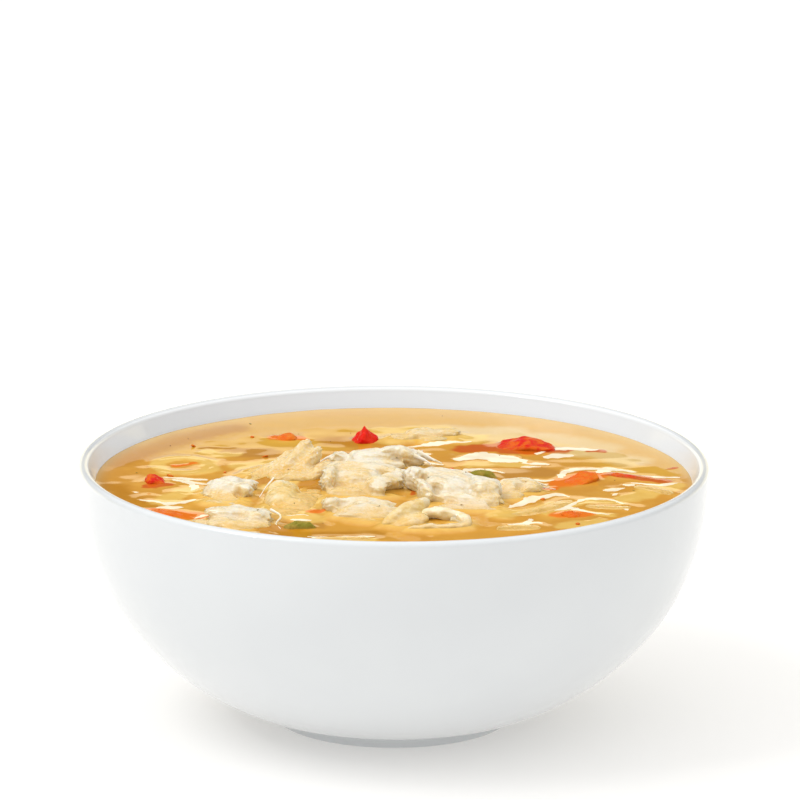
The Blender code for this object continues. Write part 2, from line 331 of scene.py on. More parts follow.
# %% Material helpers
class Paint:
    """A material under construction: its nodes, its links and its Principled shader."""

    def __init__(self, name, roughness, ior=1.45):
        self.material = bpy.data.materials.new(name)
        self.material.use_nodes = True
        self.tree = self.material.node_tree
        self.shader = self.tree.nodes["Principled BSDF"]
        self.shader.inputs["Roughness"].default_value = roughness
        self.shader.inputs["IOR"].default_value = ior
        self.space = self.tree.nodes.new("ShaderNodeTexCoord").outputs["Object"]

    def node(self, kind, **settings):
        made = self.tree.nodes.new(kind)
        for key, value in settings.items():
            setattr(made, key, value)
        return made

    def link(self, start, end):
        self.tree.links.new(start, end)

    def stretch(self, scale, turn=(0, 0, 0)):
        """Object coordinates turned and stretched, for a grain."""
        mapping = self.node("ShaderNodeMapping", vector_type="TEXTURE")
        mapping.inputs["Rotation"].default_value = [math.radians(angle) for angle in turn]
        mapping.inputs["Scale"].default_value = scale
        self.link(self.space, mapping.inputs["Vector"])
        return mapping.outputs["Vector"]

    def patches(self, size, low, high, detail=3.0, vector=None):
        made = self.node("ShaderNodeGroup", node_tree=mottle)
        self.link(vector or self.space, made.inputs["Vector"])
        for title, value in (("Size", size), ("Low", low), ("High", high), ("Detail", detail)):
            made.inputs[title].default_value = value
        return made.outputs["Mask"]

    def mix(self, amount, first, second):
        """Blend two colours, each a colour or a node's output, by a mask or a number."""
        blend = self.node("ShaderNodeMix", data_type="RGBA")
        for value, socket in ((amount, blend.inputs[0]), (first, blend.inputs[6]), (second, blend.inputs[7])):
            if hasattr(value, "links"):
                self.link(value, socket)
            else:
                socket.default_value = value
        return blend.outputs[2]

    def maths(self, operation, first, second=0.0, clamp=False):
        sums = self.node("ShaderNodeMath", operation=operation, use_clamp=clamp)
        for value, socket in zip((first, second), sums.inputs):
            if hasattr(value, "links"):
                self.link(value, socket)
            else:
                socket.default_value = value
        return sums.outputs[0]

    def ramp_of(self, value, low, high, start=0.0, end=1.0):
        scale = self.node("ShaderNodeMapRange", interpolation_type="SMOOTHSTEP")
        self.link(value, scale.inputs["Value"])
        scale.inputs["From Min"].default_value = low
        scale.inputs["From Max"].default_value = high
        scale.inputs["To Min"].default_value = start
        scale.inputs["To Max"].default_value = end
        return scale.outputs["Result"]

    def height(self):
        split = self.node("ShaderNodeSeparateXYZ")
        self.link(self.space, split.inputs[0])
        return split.outputs["Z"]

    def bump(self, height, distance, strength=1.0, under=None):
        made = self.node("ShaderNodeBump")
        made.inputs["Distance"].default_value = distance
        made.inputs["Strength"].default_value = strength
        self.link(height, made.inputs["Height"])
        if under is not None:
            self.link(under, made.inputs["Normal"])
        return made.outputs["Normal"]

    def finish(self, colour, normal=None, roughness=None):
        self.link(colour, self.shader.inputs["Base Color"])
        if normal is not None:
            self.link(normal, self.shader.inputs["Normal"])
        if roughness is not None:
            self.link(roughness, self.shader.inputs["Roughness"])
        return self.material

    def glow_through(self, weight, radius, scale):
        """Light that enters, spreads inside and leaves again, as in wet food."""
        self.shader.inputs["Subsurface Weight"].default_value = weight
        self.shader.inputs["Subsurface Radius"].default_value = radius
        self.shader.inputs["Subsurface Scale"].default_value = scale


print("material helpers ready")

# %% [markdown]
# ## The bowl
# A potter raises the wall from the foot. The same can be done here: a circle at the underside is
# extruded and resized ring by ring, out over the foot, up the outside, over the lip, and down the
# inside to the floor. A lathe modifier would do it as well, but the rings show how the wall turns.


# %% Bowl profile
FOOT_RADIUS = 30.2
FOOT_HEIGHT = 3.2
FOOT_INNER_RADIUS = 25.4
FOOT_RECESS = 2.2
BODY_START_RADIUS = 32.4
BODY_RADIUS = 79.0
BODY_TOP = 64.8
FLOOR_HEIGHT = 8.0
FLOOR_RADIUS = 30.0
INNER_RADIUS = 74.9
LIP_RADIUS = 1.4
LIP_START = 62.0
SWELL = 2.3
FLARE = 1.4


def body_curve(height, start_radius, start_height, end_radius):
    """Radius of the wall at a height, in millimetres."""
    way = min(1.0, max(0.0, (height - start_height) / (BODY_TOP - start_height)))
    return start_radius + (end_radius - start_radius) * (1 - (1 - way) ** SWELL) ** (1 / FLARE)


def inner_radius(height):
    return body_curve(height, FLOOR_RADIUS, FLOOR_HEIGHT, INNER_RADIUS)


def ease(start, end, count, power=1.0):
    return [start + (end - start) * (step / count) ** power for step in range(count + 1)]


profile = [(FOOT_INNER_RADIUS - 1.2, FOOT_RECESS)]
for step in range(5):  # the ring that the bowl stands on, with rounded edges
    turn = math.pi / 2 * step / 4
    profile.append((FOOT_INNER_RADIUS + 0.5 - 0.5 * math.cos(turn), 0.5 - 0.5 * math.sin(turn)))
for step in range(5):
    turn = math.pi / 2 * step / 4
    profile.append((FOOT_RADIUS - 0.5 + 0.5 * math.sin(turn), 0.5 - 0.5 * math.cos(turn)))
profile.append((FOOT_RADIUS + 0.1, 1.6))
profile.append((FOOT_RADIUS + 0.5, 2.7))
profile.append((FOOT_RADIUS + 1.2, 3.05))
for height in ease(FOOT_HEIGHT, LIP_START, 26, 1.5):
    profile.append((body_curve(height, BODY_START_RADIUS, FOOT_HEIGHT, BODY_RADIUS), height))
lip_middle = (RIM_RADIUS / MM - LIP_RADIUS, RIM_HEIGHT / MM - LIP_RADIUS)
for step in range(19):
    turn = math.pi * step / 18
    profile.append((lip_middle[0] + LIP_RADIUS * math.cos(turn), lip_middle[1] + LIP_RADIUS * math.sin(turn)))
for height in reversed(ease(FLOOR_HEIGHT, LIP_START, 24, 1.6)):
    profile.append((inner_radius(height), height))
print(len(profile), "rings")


# %% Raise the bowl
def raise_wall(name, rings, sides):
    """Extrude and resize a circle through (radius, height) rings, then close both ends."""
    first_radius, first_height = rings[0]
    bpy.ops.object.select_all(action="DESELECT")
    bpy.ops.mesh.primitive_circle_add(
        vertices=sides, radius=first_radius * MM, fill_type="NGON", location=(0, 0, first_height * MM)
    )
    wall = bpy.context.object
    wall.name = name
    wall.data.name = name
    settle(wall)
    bpy.ops.object.mode_set(mode="EDIT")
    bpy.ops.mesh.select_mode(type="EDGE")
    bpy.ops.mesh.select_all(action="SELECT")
    for (radius, height), (next_radius, next_height) in zip(rings, rings[1:]):
        bpy.ops.mesh.extrude_edges_move(
            TRANSFORM_OT_translate={"value": (0, 0, (next_height - height) * MM)}
        )
        share = next_radius / radius
        bpy.ops.transform.resize(value=(share, share, 1), center_override=(0, 0, next_height * MM))
    bpy.ops.mesh.edge_face_add()
    bpy.ops.mesh.select_all(action="SELECT")
    bpy.ops.mesh.normals_make_consistent(inside=False)
    bpy.ops.object.mode_set(mode="OBJECT")
    bpy.ops.object.shade_smooth()
    return wall


bowl = raise_wall("porcelain_bowl", profile, 192)
print(bowl.name, len(bowl.data.vertices), "vertices")

# %% [markdown]
# Glazed porcelain is white, very slightly cool, and its gloss is even. The glaze gathers a little in
# waves too shallow to see, except in how they bend a reflection.

# %% Porcelain
glaze = Paint("porcelain glaze", roughness=0.12, ior=1.5)
glaze_waves = glaze.patches(18.0, 0.2, 0.8, detail=1.0)
bowl_points = points_of(bowl) / MM
mid_wall = np.array([
    (inner_radius(height) + body_curve(height, BODY_START_RADIUS, FOOT_HEIGHT, BODY_RADIUS)) / 2
    for height in bowl_points[:, 2]
])
inside = (np.hypot(bowl_points[:, 0], bowl_points[:, 1]) < mid_wall) & (bowl_points[:, 2] > FLOOR_HEIGHT - 0.1)
# painted light: points on the inside of the bowl are marked so that they get a brighter glaze
painted_light_inside = bowl.data.attributes.new("painted_light_inside", "FLOAT", "POINT")
painted_light_inside.data.foreach_set("value", inside.astype(float))
inside_brightening = glaze.node("ShaderNodeAttribute", attribute_name="painted_light_inside").outputs["Fac"]
glaze_tint = glaze.mix(glaze_waves, (0.70, 0.722, 0.737, 1), (0.715, 0.737, 0.749, 1))
# painted light: the inner wall is painted a much brighter copy of the same glaze than the outer wall
glaze_tint = glaze.mix(inside_brightening, glaze_tint, (0.88, 0.90, 0.915, 1))
glaze.shader.inputs["Coat Weight"].default_value = 0.3
glaze.shader.inputs["Coat Roughness"].default_value = 0.05
porcelain = glaze.finish(
    glaze_tint,
    glaze.bump(glaze_waves, 0.0002, 0.25),
    glaze.ramp_of(glaze_waves, 0.0, 1.0, 0.10, 0.16),
)
bowl.data.materials.clear()
bowl.data.materials.append(porcelain)
place(bowl, "bowl")

# %% [markdown]
# ## Chicken
# Poached breast is torn by hand, so a chunk is a stack of flakes, each a bundle of pale fibres with a
# ragged end. The plain solid has the chunk's size and place. A copy of it gets the flakes, which are
# squarish balls, and a voxel remesh melts them together, as a sculptor adds clay. Displacement then
# cuts the fibres, and the ends of the fibres are drawn out unevenly, so that they look torn.


# %% Add flakes and melt them together
def add_lobe(centre, size, turn=(0, 0, 0), squareness=0.8):
    """A squarish ball, in millimetres, its height counted from the broth."""
    bpy.ops.object.select_all(action="DESELECT")
    bpy.ops.mesh.primitive_ico_sphere_add(subdivisions=4, radius=1.0, location=(0, 0, 0))
    lobe = bpy.context.object
    for vertex in lobe.data.vertices:
        vertex.co = [math.copysign(abs(part) ** squareness, part) for part in vertex.co]
    lobe.location = (centre[0] * MM, centre[1] * MM, LEVEL + centre[2] * MM)
    lobe.rotation_euler = [math.radians(angle) for angle in turn]
    lobe.scale = [side / 2 * MM for side in size]
    settle(lobe)
    return lobe


def melt(piece, lobes, voxel):
    """Join lobes to a piece and remesh them into one skin."""
    if lobes:
        pick(*lobes, piece)
        bpy.ops.object.join()
    skin = piece.modifiers.new("One skin", "REMESH")
    skin.mode = "VOXEL"
    skin.voxel_size = voxel * MM
    skin.use_smooth_shade = True
    apply_all(piece)
    return piece


def ease_out(piece, times):
    """Round off corners and seams, more with each time."""
    soften = piece.modifiers.new("Ease", "SMOOTH")
    soften.iterations = times
    apply_all(piece)


def grain_texture(name, kind, **settings):
    texture = bpy.data.textures.new(name, kind)
    for key, value in settings.items():
        setattr(texture, key, value)
    return texture


def relief(piece, texture, size, strength, heading=0.0, pitch=0.0, group="", middle=0.5):
    """Push the skin in and out by a texture whose grain has a size along, across and upward."""
    bpy.ops.object.empty_add(
        location=(0, 0, 0), rotation=(0, math.radians(pitch), math.radians(heading))
    )
    guide = bpy.context.object
    guide.scale = [side * MM for side in size]
    push = piece.modifiers.new("Relief", "DISPLACE")
    push.texture = texture
    push.texture_coords = "OBJECT"
    push.texture_coords_object = guide
    push.strength = strength * MM
    push.mid_level = middle
    if group:
        push.vertex_group = group
    bpy.context.view_layer.update()
    apply_all(piece)
    bpy.data.objects.remove(guide, do_unlink=True)


soft_lumps = grain_texture("soft lumps", "CLOUDS", noise_scale=1.0, noise_depth=1)
fibre_grain = grain_texture("fibres", "CLOUDS", noise_scale=1.0, noise_depth=2, noise_type="HARD_NOISE")
crumb_grain = grain_texture("crumbs", "VORONOI", noise_scale=1.0, distance_metric="DISTANCE")
bundle_grain = grain_texture("bundles", "VORONOI", noise_scale=1.0, weight_1=-1.0, weight_2=1.0)
print("meat tools ready")


# %% Turn, dent, shrink and sink a mesh
def axes_of(heading, pitch=0.0):
    """Along, across and upward directions of a grain that heads and climbs by these angles."""
    turn = Matrix.Rotation(math.radians(heading), 3, "Z") @ Matrix.Rotation(math.radians(-pitch), 3, "Y")
    return np.array(turn.transposed())


def dent(piece, centre, radius, push):
    """Press a soft round dent; all in millimetres, the centre's height counted from the broth."""
    points = points_of(piece)
    middle = np.array([centre[0], centre[1], LEVEL / MM + centre[2]]) * MM
    reach = np.linalg.norm(points - middle, axis=1) / (radius * MM)
    points += np.exp(-(reach ** 2) * 1.5)[:, None] * np.array(push) * MM
    set_points(piece, points)


def shrink(piece, share):
    """Make a piece smaller about the middle of its underside, to be a core for what is added round it."""
    points = points_of(piece)
    middle = (points.min(axis=0) + points.max(axis=0)) / 2
    middle[2] = points[:, 2].min()
    set_points(piece, middle + (points - middle) * share)


def sink(piece, low_side, middle, high_side):
    """Lower a cut's top towards the broth, more or less from side to side."""
    points = points_of(piece)
    across = points[:, 0]
    share = (across - across.min()) / (across.max() - across.min())
    height = np.interp(share, (0, 0.5, 1), (low_side, middle, high_side))
    above = np.maximum(points[:, 2] - LEVEL, 0)
    points[:, 2] -= above * (1 - height)
    set_points(piece, points)


print("point tools ready")


# %% Tear the ends of the fibres
def tear_ends(piece, heading, reach_mm, fibre_mm, keep=0.45):
    """Shorten each fibre's end by its own length, and weigh the ends in a vertex group."""
    points = points_of(piece)
    along, across, upward = (points @ axis for axis in axes_of(heading))
    middle = (along.max() + along.min()) / 2
    share = np.abs(along - middle) / (along.max() - middle)
    weight = np.clip((share - keep) / (1 - keep), 0, 1)
    lengths = np.array([
        noise.noise(Vector((c / (fibre_mm * MM), u / (fibre_mm * MM), math.copysign(9.0, a - middle))))
        for a, c, u in zip(along, across, upward)
    ])
    shift = np.sign(along - middle) * weight * (lengths - 0.7) / 1.7 * reach_mm * MM
    points += shift[:, None] * axes_of(heading)[0]
    set_points(piece, points)
    torn = piece.vertex_groups.new(name="torn")
    for index in np.nonzero(weight > 0)[0]:
        torn.add([int(index)], float(weight[index]), "REPLACE")


# Each chunk: the heading of its fibres in degrees, how soaked it is from 0 to 1, its flakes as
# (centre, size, turn), its dents as (centre, radius, push) and its spots as (centre, radius, amount):
# soaking, painted shade in the dents, and painted highlights where the amount is negative.
CHUNKS = {
    "chicken_main": dict(
        showing=(0.84, 0.78, 0.72),
        heading=-8,
        soaked=0.34,
        flakes=[
            ((-16.6, -6.0, 2.4), (4.6, 15, 8.6), (0, 8, -4)),
            ((-7.0, -0.2, 4.0), (22, 6.0, 4.8), (6, 3, -2)),
            ((-9.0, -5.5, 3.0), (12, 8.0, 6.0), (14, 0, -4)),
            ((-1.8, -9.8, 2.3), (8.6, 13, 6.2), (0, 8, -26)),
            ((1.0, -3.5, 2.8), (3.2, 9, 6.6), (0, 14, 24)),
            ((-12.0, -13.5, 0.6), (11, 4, 4.6), (0, 0, -4)),
            ((-7.5, -15.4, -0.1), (20, 4.4, 2.8), (0, 0, -5)),
        ],
        dents=[((-12.5, -12.5, 3.4), 3.0, (0, 1.0, -0.5)), ((1.6, -14.0, 0.6), 3.6, (-3.0, 1.8, -0.6))],
        soak_and_shading_spots=[((-11.5, -13, 2.0), 5.0, 0.7), ((1.5, -12, 0.8), 4.0, 0.9), ((-9, -6, 5), 3.5, 0.25), ((-11, -1, 5.5), 5.0, 0.4)],
    ),
    "chicken_right": dict(
        heading=-27,
        soaked=0.12,
        flakes=[
            ((4.8, -9.6, 3.6), (6.4, 6, 6.2), (0, 0, -20)),
            ((6.6, -16.5, 2.2), (3.6, 15, 6.0), (0, 0, 22)),
            ((14.5, -12.0, 4.0), (18, 7.5, 4.2), (4, 6, -20)),
            ((13.5, -16.5, 3.0), (13, 8, 5.0), (10, 4, -28)),
            ((22.5, -17.5, 2.6), (9, 11, 6.8), (0, 10, 15)),
            ((15.0, -21.5, 0.9), (16, 5, 4.6), (8, 0, -18)),
            ((24.0, -22.5, 0.8), (7, 7, 5.0), (0, 0, 0)),
            ((20.0, -25.0, 0.2), (11, 6, 3.6), (0, 0, -12)),
            ((16.0, -26.5, -0.2), (15, 5, 2.8), (0, 0, -14)),
            ((24.5, -27.5, -0.3), (8, 5, 2.6), (0, 0, -20)),
        ],
        dents=[((5.0, -14.0, 0.4), 3.6, (2.4, 0.6, 0)), ((6.8, -12.6, 4.6), 1.6, (0.2, 1.2, -2.6)), ((10.5, -19, 3.4), 2.4, (0.2, 1.4, -1.2))],
        soak_and_shading_spots=[((6.8, -12.6, 3.2), 1.6, 0.8), ((24, -22, 1.5), 4.0, 0.5), ((8, -21, 1), 3.0, 0.4)],
    ),
    "chicken_back": dict(
        heading=2,
        soaked=0.1,
        flakes=[
            ((-14.4, 15.5, 1.8), (5.0, 5, 4.4), (0, 0, 0)),
            ((-6.4, 14.0, 2.4), (13, 6.5, 5.0), (0, -4, 4)),
            ((-5.0, 10.4, 1.2), (17, 6, 4.2), (-18, 0, 3)),
            ((-1.4, 14.4, 3.6), (6.0, 4, 4.0), (0, -8, 24)),
            ((3.2, 14.0, 3.8), (6.4, 4.6, 3.4), (0, 14, -14)),
            ((5.6, 14.5, 2.4), (6, 5, 5.0), (0, 12, -10)),
        ],
        dents=[((-11.2, 12.5, 3.0), 1.8, (0, 1.0, -1.4))],
        soak_and_shading_spots=[((4.0, 12.5, 3.2), 2.0, 0.8), ((-2, 11, 2), 3.0, 0.3)],
    ),
    "chicken_flat": dict(
        showing=(0.8, 0.8, 0.7),
        heading=-6,
        soaked=0.2,
        flakes=[
            ((-15.6, -29.0, 2.2), (5.6, 7, 5.4), (0, 0, 20)),
            ((-7.0, -28.5, 2.9), (17, 4, 3.0), (0, 3, -3)),
            ((-6.0, -32.5, 1.6), (18, 6, 4.2), (12, 3, -5)),
            ((-8.0, -35.6, 0.6), (16, 4.4, 3.2), (0, 0, -4)),
            ((-5.0, -38.5, -0.1), (14, 5, 2.4), (0, 0, -6)),
        ],
        dents=[((-12.4, -31.5, 3.2), 1.8, (0, 0.8, -1.4))],
        soak_and_shading_spots=[((-12.0, -33, 2.2), 2.6, 0.5), ((-6, -38, 0.0), 6.0, 0.4)],
    ),
    "chicken_left": dict(
        showing=(0.75, 0.8, 0.9),
        heading=-20,
        soaked=0.15,
        flakes=[
            ((-42.4, -12.6, 2.6), (10, 8, 5.4), (0, -8, -15)),
            ((-37.6, -16.0, 1.6), (6, 8, 5.8), (0, 0, 30)),
            ((-46.0, -14.5, 0.8), (5, 8, 3.6), (0, 0, 0)),
            ((-41.0, -18.6, 0.2), (9, 6, 3.4), (0, 0, -18)),
            ((-42.0, -23.0, -0.1), (13, 6, 2.8), (0, 0, -18)),
            ((-37.8, -10.8, 1.4), (9, 7, 4.6), (0, -4, 30)),
        ],
        dents=[((-38.4, -19.5, 2.4), 1.6, (0, 1.2, -1.2))],
        soak_and_shading_spots=[((-38.2, -19.5, 1.2), 2.4, 0.9), ((-34.4, -20, 0.6), 2.6, 0.8), ((-44, -20, 0.6), 4, 0.5)],
    ),
    "chicken_near": dict(
        showing=(0.7, 0.72, 0.65),
        heading=-8,
        soaked=0.15,
        flakes=[
            ((-40.0, -38.0, 3.0), (14, 6, 4.0), (0, 0, 4)),
            ((-33.0, -40.6, 2.4), (8, 8, 5.6), (0, 0, 20)),
            ((-37.5, -44.5, 1.2), (17, 8, 4.4), (8, 0, -6)),
            ((-46.8, -42.5, 0.6), (6, 6, 2.8), (0, 0, 10)),
            ((-31.5, -44.0, 0.2), (7, 7, 3.6), (0, 0, 0)),
            ((-38.0, -50.5, 0.0), (17, 5, 2.8), (0, 0, -8)),
        ],
        dents=[((-38.5, -42.5, 3.6), 2.2, (0, 0.8, -1.2))],
        soak_and_shading_spots=[((-38, -48, 0.6), 6.0, 0.6), ((-31, -45, 1), 3.0, 0.4)],
    ),
    "chicken_crumb": dict(
        heading=15,
        soaked=0.5,
        flakes=[
            ((29.0, -9.6, 1.4), (7, 7, 4.0), (0, 0, 0)),
            ((34.6, -10.2, 1.2), (7, 4.6, 3.4), (0, 0, 15)),
            ((32.0, -7.0, 1.6), (8, 3, 3.2), (0, 0, -8)),
            ((28.0, -15.5, 0.2), (9, 8, 3.0), (0, 0, 10)),
        ],
        dents=[((31.4, -11.6, 2.4), 1.2, (0, 0.8, -1.0))],
        soak_and_shading_spots=[((31.4, -12.0, 1.4), 1.2, 0.7), ((36, -12, 0.5), 3.0, 0.4)],
    ),
    "chicken_far": dict(
        heading=25,
        soaked=0.6,
        flakes=[
            ((2.0, 42.0, 0.4), (9, 6, 2.4), (0, 0, 0)),
            ((7.0, 44.0, 1.0), (9, 7, 3.2), (0, 0, 20)),
            ((13.5, 46.0, 0.9), (9, 6, 2.8), (0, 0, 10)),
            ((10.0, 40.5, 0.6), (8, 4.5, 2.2), (0, 0, 0)),
        ],
        dents=[],
        soak_and_shading_spots=[((9.0, 39.0, 0.6), 3.0, 0.4)],
    ),
    "chicken_shred": dict(
        heading=-20,
        soaked=0.05,
        flakes=[
            ((15.6, -39.4, 1.2), (5, 4.0, 2.8), (0, 0, -20)),
            ((18.0, -41.6, 0.6), (3.0, 5.0, 3.0), (0, 0, 20)),
            ((15.4, -45.2, 0.2), (6.0, 2.2, 1.8), (0, 0, 10)),
        ],
        dents=[((14.4, -42.6, 1.4), 1.5, (0, 1.6, -1.4))],
        soak_and_shading_spots=[((14.4, -42.0, 0.8), 1.2, 1.0)],
    ),
    "chicken_crest": dict(
        core=0.5,
        heading=52,
        soaked=0.85,
        flakes=[
            ((-35.0, 8.0, -0.4), (4.0, 13, 2.6), (0, 0, -38)),
            ((-31.6, 8.0, 0.8), (4.2, 14, 3.4), (7, 0, -38)),
            ((-28.2, 8.0, 2.2), (4.2, 15, 4.0), (18, 0, -38)),
            ((-24.6, 8.4, 3.6), (4.4, 15, 4.6), (30, 0, -38)),
            ((-21.6, 7.0, 3.0), (4.2, 13, 4.6), (26, 0, -36)),
            ((-18.8, 3.0, 1.2), (4.2, 12, 4.0), (12, 0, -34)),
            ((-25.0, 3.0, 0.6), (14, 12, 4.0), (0, 0, 0)),
            ((-34.0, 2.4, -0.1), (14, 4.6, 2.6), (0, 0, 62)),
        ],
        dents=[],
        soak_and_shading_spots=[((-25, 3, 2.5), 4.0, 0.3), ((-21.5, 13, 6.6), 3.0, -0.4), ((-30, 10, 3), 2.5, -0.3)],
    ),
}
print(len(CHUNKS), "chunks")


# %% Tear the chunks
VOXEL = 0.3
MEAT_CORE = 0.82


def keep_under(piece, top):
    """Lower what stands above the tallest solid, so that no chunk outgrows the plain model."""
    points = points_of(piece)
    points[:, 2] = np.minimum(points[:, 2], top)
    set_points(piece, points)


def keep_grain(piece, heading, pitch=6.0):
    """Store where each point lies along, across and above its chunk's fibres, in millimetres."""
    grain = piece.data.attributes.new("grain", "FLOAT_VECTOR", "POINT")
    grain.data.foreach_set("vector", (points_of(piece) @ axes_of(heading, pitch).T / MM).ravel())


def keep_soak_and_shading(piece, soaked, soak_and_shading_spots):
    """Store how soaked and how shaded each point is, from 0 for dry white meat to 1; the spots add soaking and painted
    shade in the dents, or painted highlights where their amount is negative.
    """
    points = points_of(piece) / MM
    amount = np.full(len(points), soaked)
    for centre, radius, strength in soak_and_shading_spots:
        middle = np.array([centre[0], centre[1], LEVEL / MM + centre[2]])
        reach = np.linalg.norm(points - middle, axis=1) / radius
        amount += strength * np.exp(-(reach ** 2) * 1.4)
    soak_and_shading = piece.data.attributes.new("soak_and_shading", "FLOAT", "POINT")
    soak_and_shading.data.foreach_set("value", np.clip(amount, 0, 1))


def tear_chunk(node, heading, soaked, flakes, dents, soak_and_shading_spots, showing=(1, 1, 1), core=MEAT_CORE):
    chunk = rough_copy(node, f"{node}_torn")
    shrink(chunk, core)
    melt(chunk, [add_lobe(*flake) for flake in flakes], VOXEL)
    for one in dents:
        dent(chunk, *one)
    sink(chunk, *showing)
    ease_out(chunk, 10)
    tear_ends(chunk, heading, reach_mm=2.2, fibre_mm=1.0)
    relief(chunk, soft_lumps, (6.0, 3.0, 3.0), 1.2, heading)
    relief(chunk, bundle_grain, (6.5, 1.4, 1.4), 0.75, heading, pitch=8, middle=0.35)
    relief(chunk, fibre_grain, (4.0, 0.7, 0.7), 0.26, heading, pitch=6)
    relief(chunk, crumb_grain, (0.9, 0.8, 0.8), 0.22, heading, group="torn", middle=0.45)
    keep_under(chunk, plain_box[1][2])
    chunk.vertex_groups.clear()
    keep_grain(chunk, heading)
    keep_soak_and_shading(chunk, soaked, soak_and_shading_spots)
    pick(chunk)
    bpy.ops.object.shade_smooth()
    return chunk


chunks = {node: tear_chunk(node, **plan) for node, plan in CHUNKS.items()}
for node, chunk in chunks.items():
    print(node, len(chunk.data.polygons), "faces")

# %% [markdown]
# Cooked breast is cream white where it stands dry above the broth. Where it is soaked, near the
# broth, it turns a warm yellow. Its steep sides and clefts are tinted warm as painted shade, and its
# crests are paled as painted highlights. Fine fibres run along each chunk's own grain.


# %% Soft food
def make_soft_food(name, dry, cream, warm, soaked, fleck_and_crest_light, thread_bump, shine_low, wet_coat, glow_reach):
    """Meat or dough: pale where dry, warm where soaked, with threads along its grain. Painted shade warms its steep
    sides and clefts, and painted highlights pale its crests.
    """
    food = Paint(name, roughness=0.4, ior=1.42)
    grain = food.node("ShaderNodeAttribute", attribute_name="grain").outputs["Vector"]
    soak_and_shading = food.node("ShaderNodeAttribute", attribute_name="soak_and_shading").outputs["Fac"]
    fibres = food.node("ShaderNodeMapping", vector_type="TEXTURE")
    fibres.inputs["Scale"].default_value = (8.0, 0.8, 0.8)
    food.link(grain, fibres.inputs["Vector"])
    threads = food.node("ShaderNodeTexNoise")
    threads.inputs["Scale"].default_value = 1.6
    threads.inputs["Detail"].default_value = 4.0
    food.link(fibres.outputs["Vector"], threads.inputs["Vector"])
    thread_mask = threads.outputs["Fac"]

    patches = food.patches(4.0, 0.40, 0.66, detail=4.0)
    body = food.mix(food.maths("MULTIPLY", patches, 0.6), dry, cream)
    lines = food.ramp_of(thread_mask, 0.50, 0.64)
    body = food.mix(food.maths("MULTIPLY", lines, 0.5), body, cream)
    # soaking, together with painted shade and painted highlights from the listed spots
    soak_and_shading_level = food.maths("ADD", soak_and_shading, food.maths("MULTIPLY", food.maths("SUBTRACT", patches, 0.5), 0.35))
    body = food.mix(food.ramp_of(soak_and_shading_level, 0.0, 0.75), body, warm)
    body = food.mix(food.ramp_of(soak_and_shading_level, 0.7, 1.2), body, soaked)
    # painted shade: steep sides are tinted warmer than the tops
    facing = food.node("ShaderNodeSeparateXYZ")
    food.link(food.node("ShaderNodeNewGeometry").outputs["Normal"], facing.inputs[0])
    sides = food.ramp_of(facing.outputs["Z"], 0.1, 0.8, 1.0, 0.0)
    body = food.mix(food.maths("MULTIPLY", sides, 0.6), body, warm)
    # painted shade in the clefts and painted highlights on the crests, by how pointed the skin is
    pointed = food.node("ShaderNodeNewGeometry").outputs["Pointiness"]
    cleft_shade = food.ramp_of(pointed, 0.38, 0.49, 1.0, 0.0)
    body = food.mix(food.maths("MULTIPLY", cleft_shade, 0.65), body, warm)
    crest_light = food.ramp_of(pointed, 0.52, 0.60)
    body = food.mix(food.maths("MULTIPLY", crest_light, 0.8), body, fleck_and_crest_light)
    # pale flecks at random, in the same pale colour as the painted crest highlights
    flecks = food.patches(0.7, 0.47, 0.60, detail=2.0)
    body = food.mix(food.maths("MULTIPLY", flecks, 0.3), body, fleck_and_crest_light)
    shallow = food.ramp_of(food.height(), LEVEL + 0.0002, LEVEL + 0.0030, 1.0, 0.0)
    body = food.mix(food.maths("MULTIPLY", shallow, 0.7), body, soaked)
    shine = food.patches(2.4, 0.5, 0.6)
    food.shader.inputs["Coat Weight"].default_value = wet_coat
    food.shader.inputs["Coat Roughness"].default_value = 0.07
    food.glow_through(0.5, (0.9, 0.75, 0.5), glow_reach)
    return food.finish(
        body, food.bump(thread_mask, 0.0004, thread_bump), food.ramp_of(shine, 0.0, 1.0, 0.45, shine_low)
    )


chicken_meat = make_soft_food(
    "poached chicken",
    dry=from_srgb(230, 222, 202),
    cream=from_srgb(228, 211, 172),
    warm=from_srgb(228, 198, 134),
    soaked=from_srgb(224, 178, 82),
    fleck_and_crest_light=from_srgb(239, 233, 217),
    thread_bump=0.22,
    shine_low=0.15,
    wet_coat=0.5,
    glow_reach=0.0018,
)
for node, chunk in chunks.items():
    chunk.data.materials.clear()
    chunk.data.materials.append(chicken_meat)
    place(chunk, node)

# %% [markdown]
# ## Noodles
# Egg noodles are flat bands with soft edges. Subdivision rounds the plain band, and gentle lumps make
# it swell unevenly, as it does when it cooks.


# %% Shape the noodles
CORE_SHARE = 0.55
NOODLE_NODES = sorted(name for name in nodes if name.startswith("noodle_"))
# How much of each flat noodle's height stays above the broth; the loops lie just under it.
BREAKING = {"noodle_ring": -1.5, "noodle_loop": -1.5}
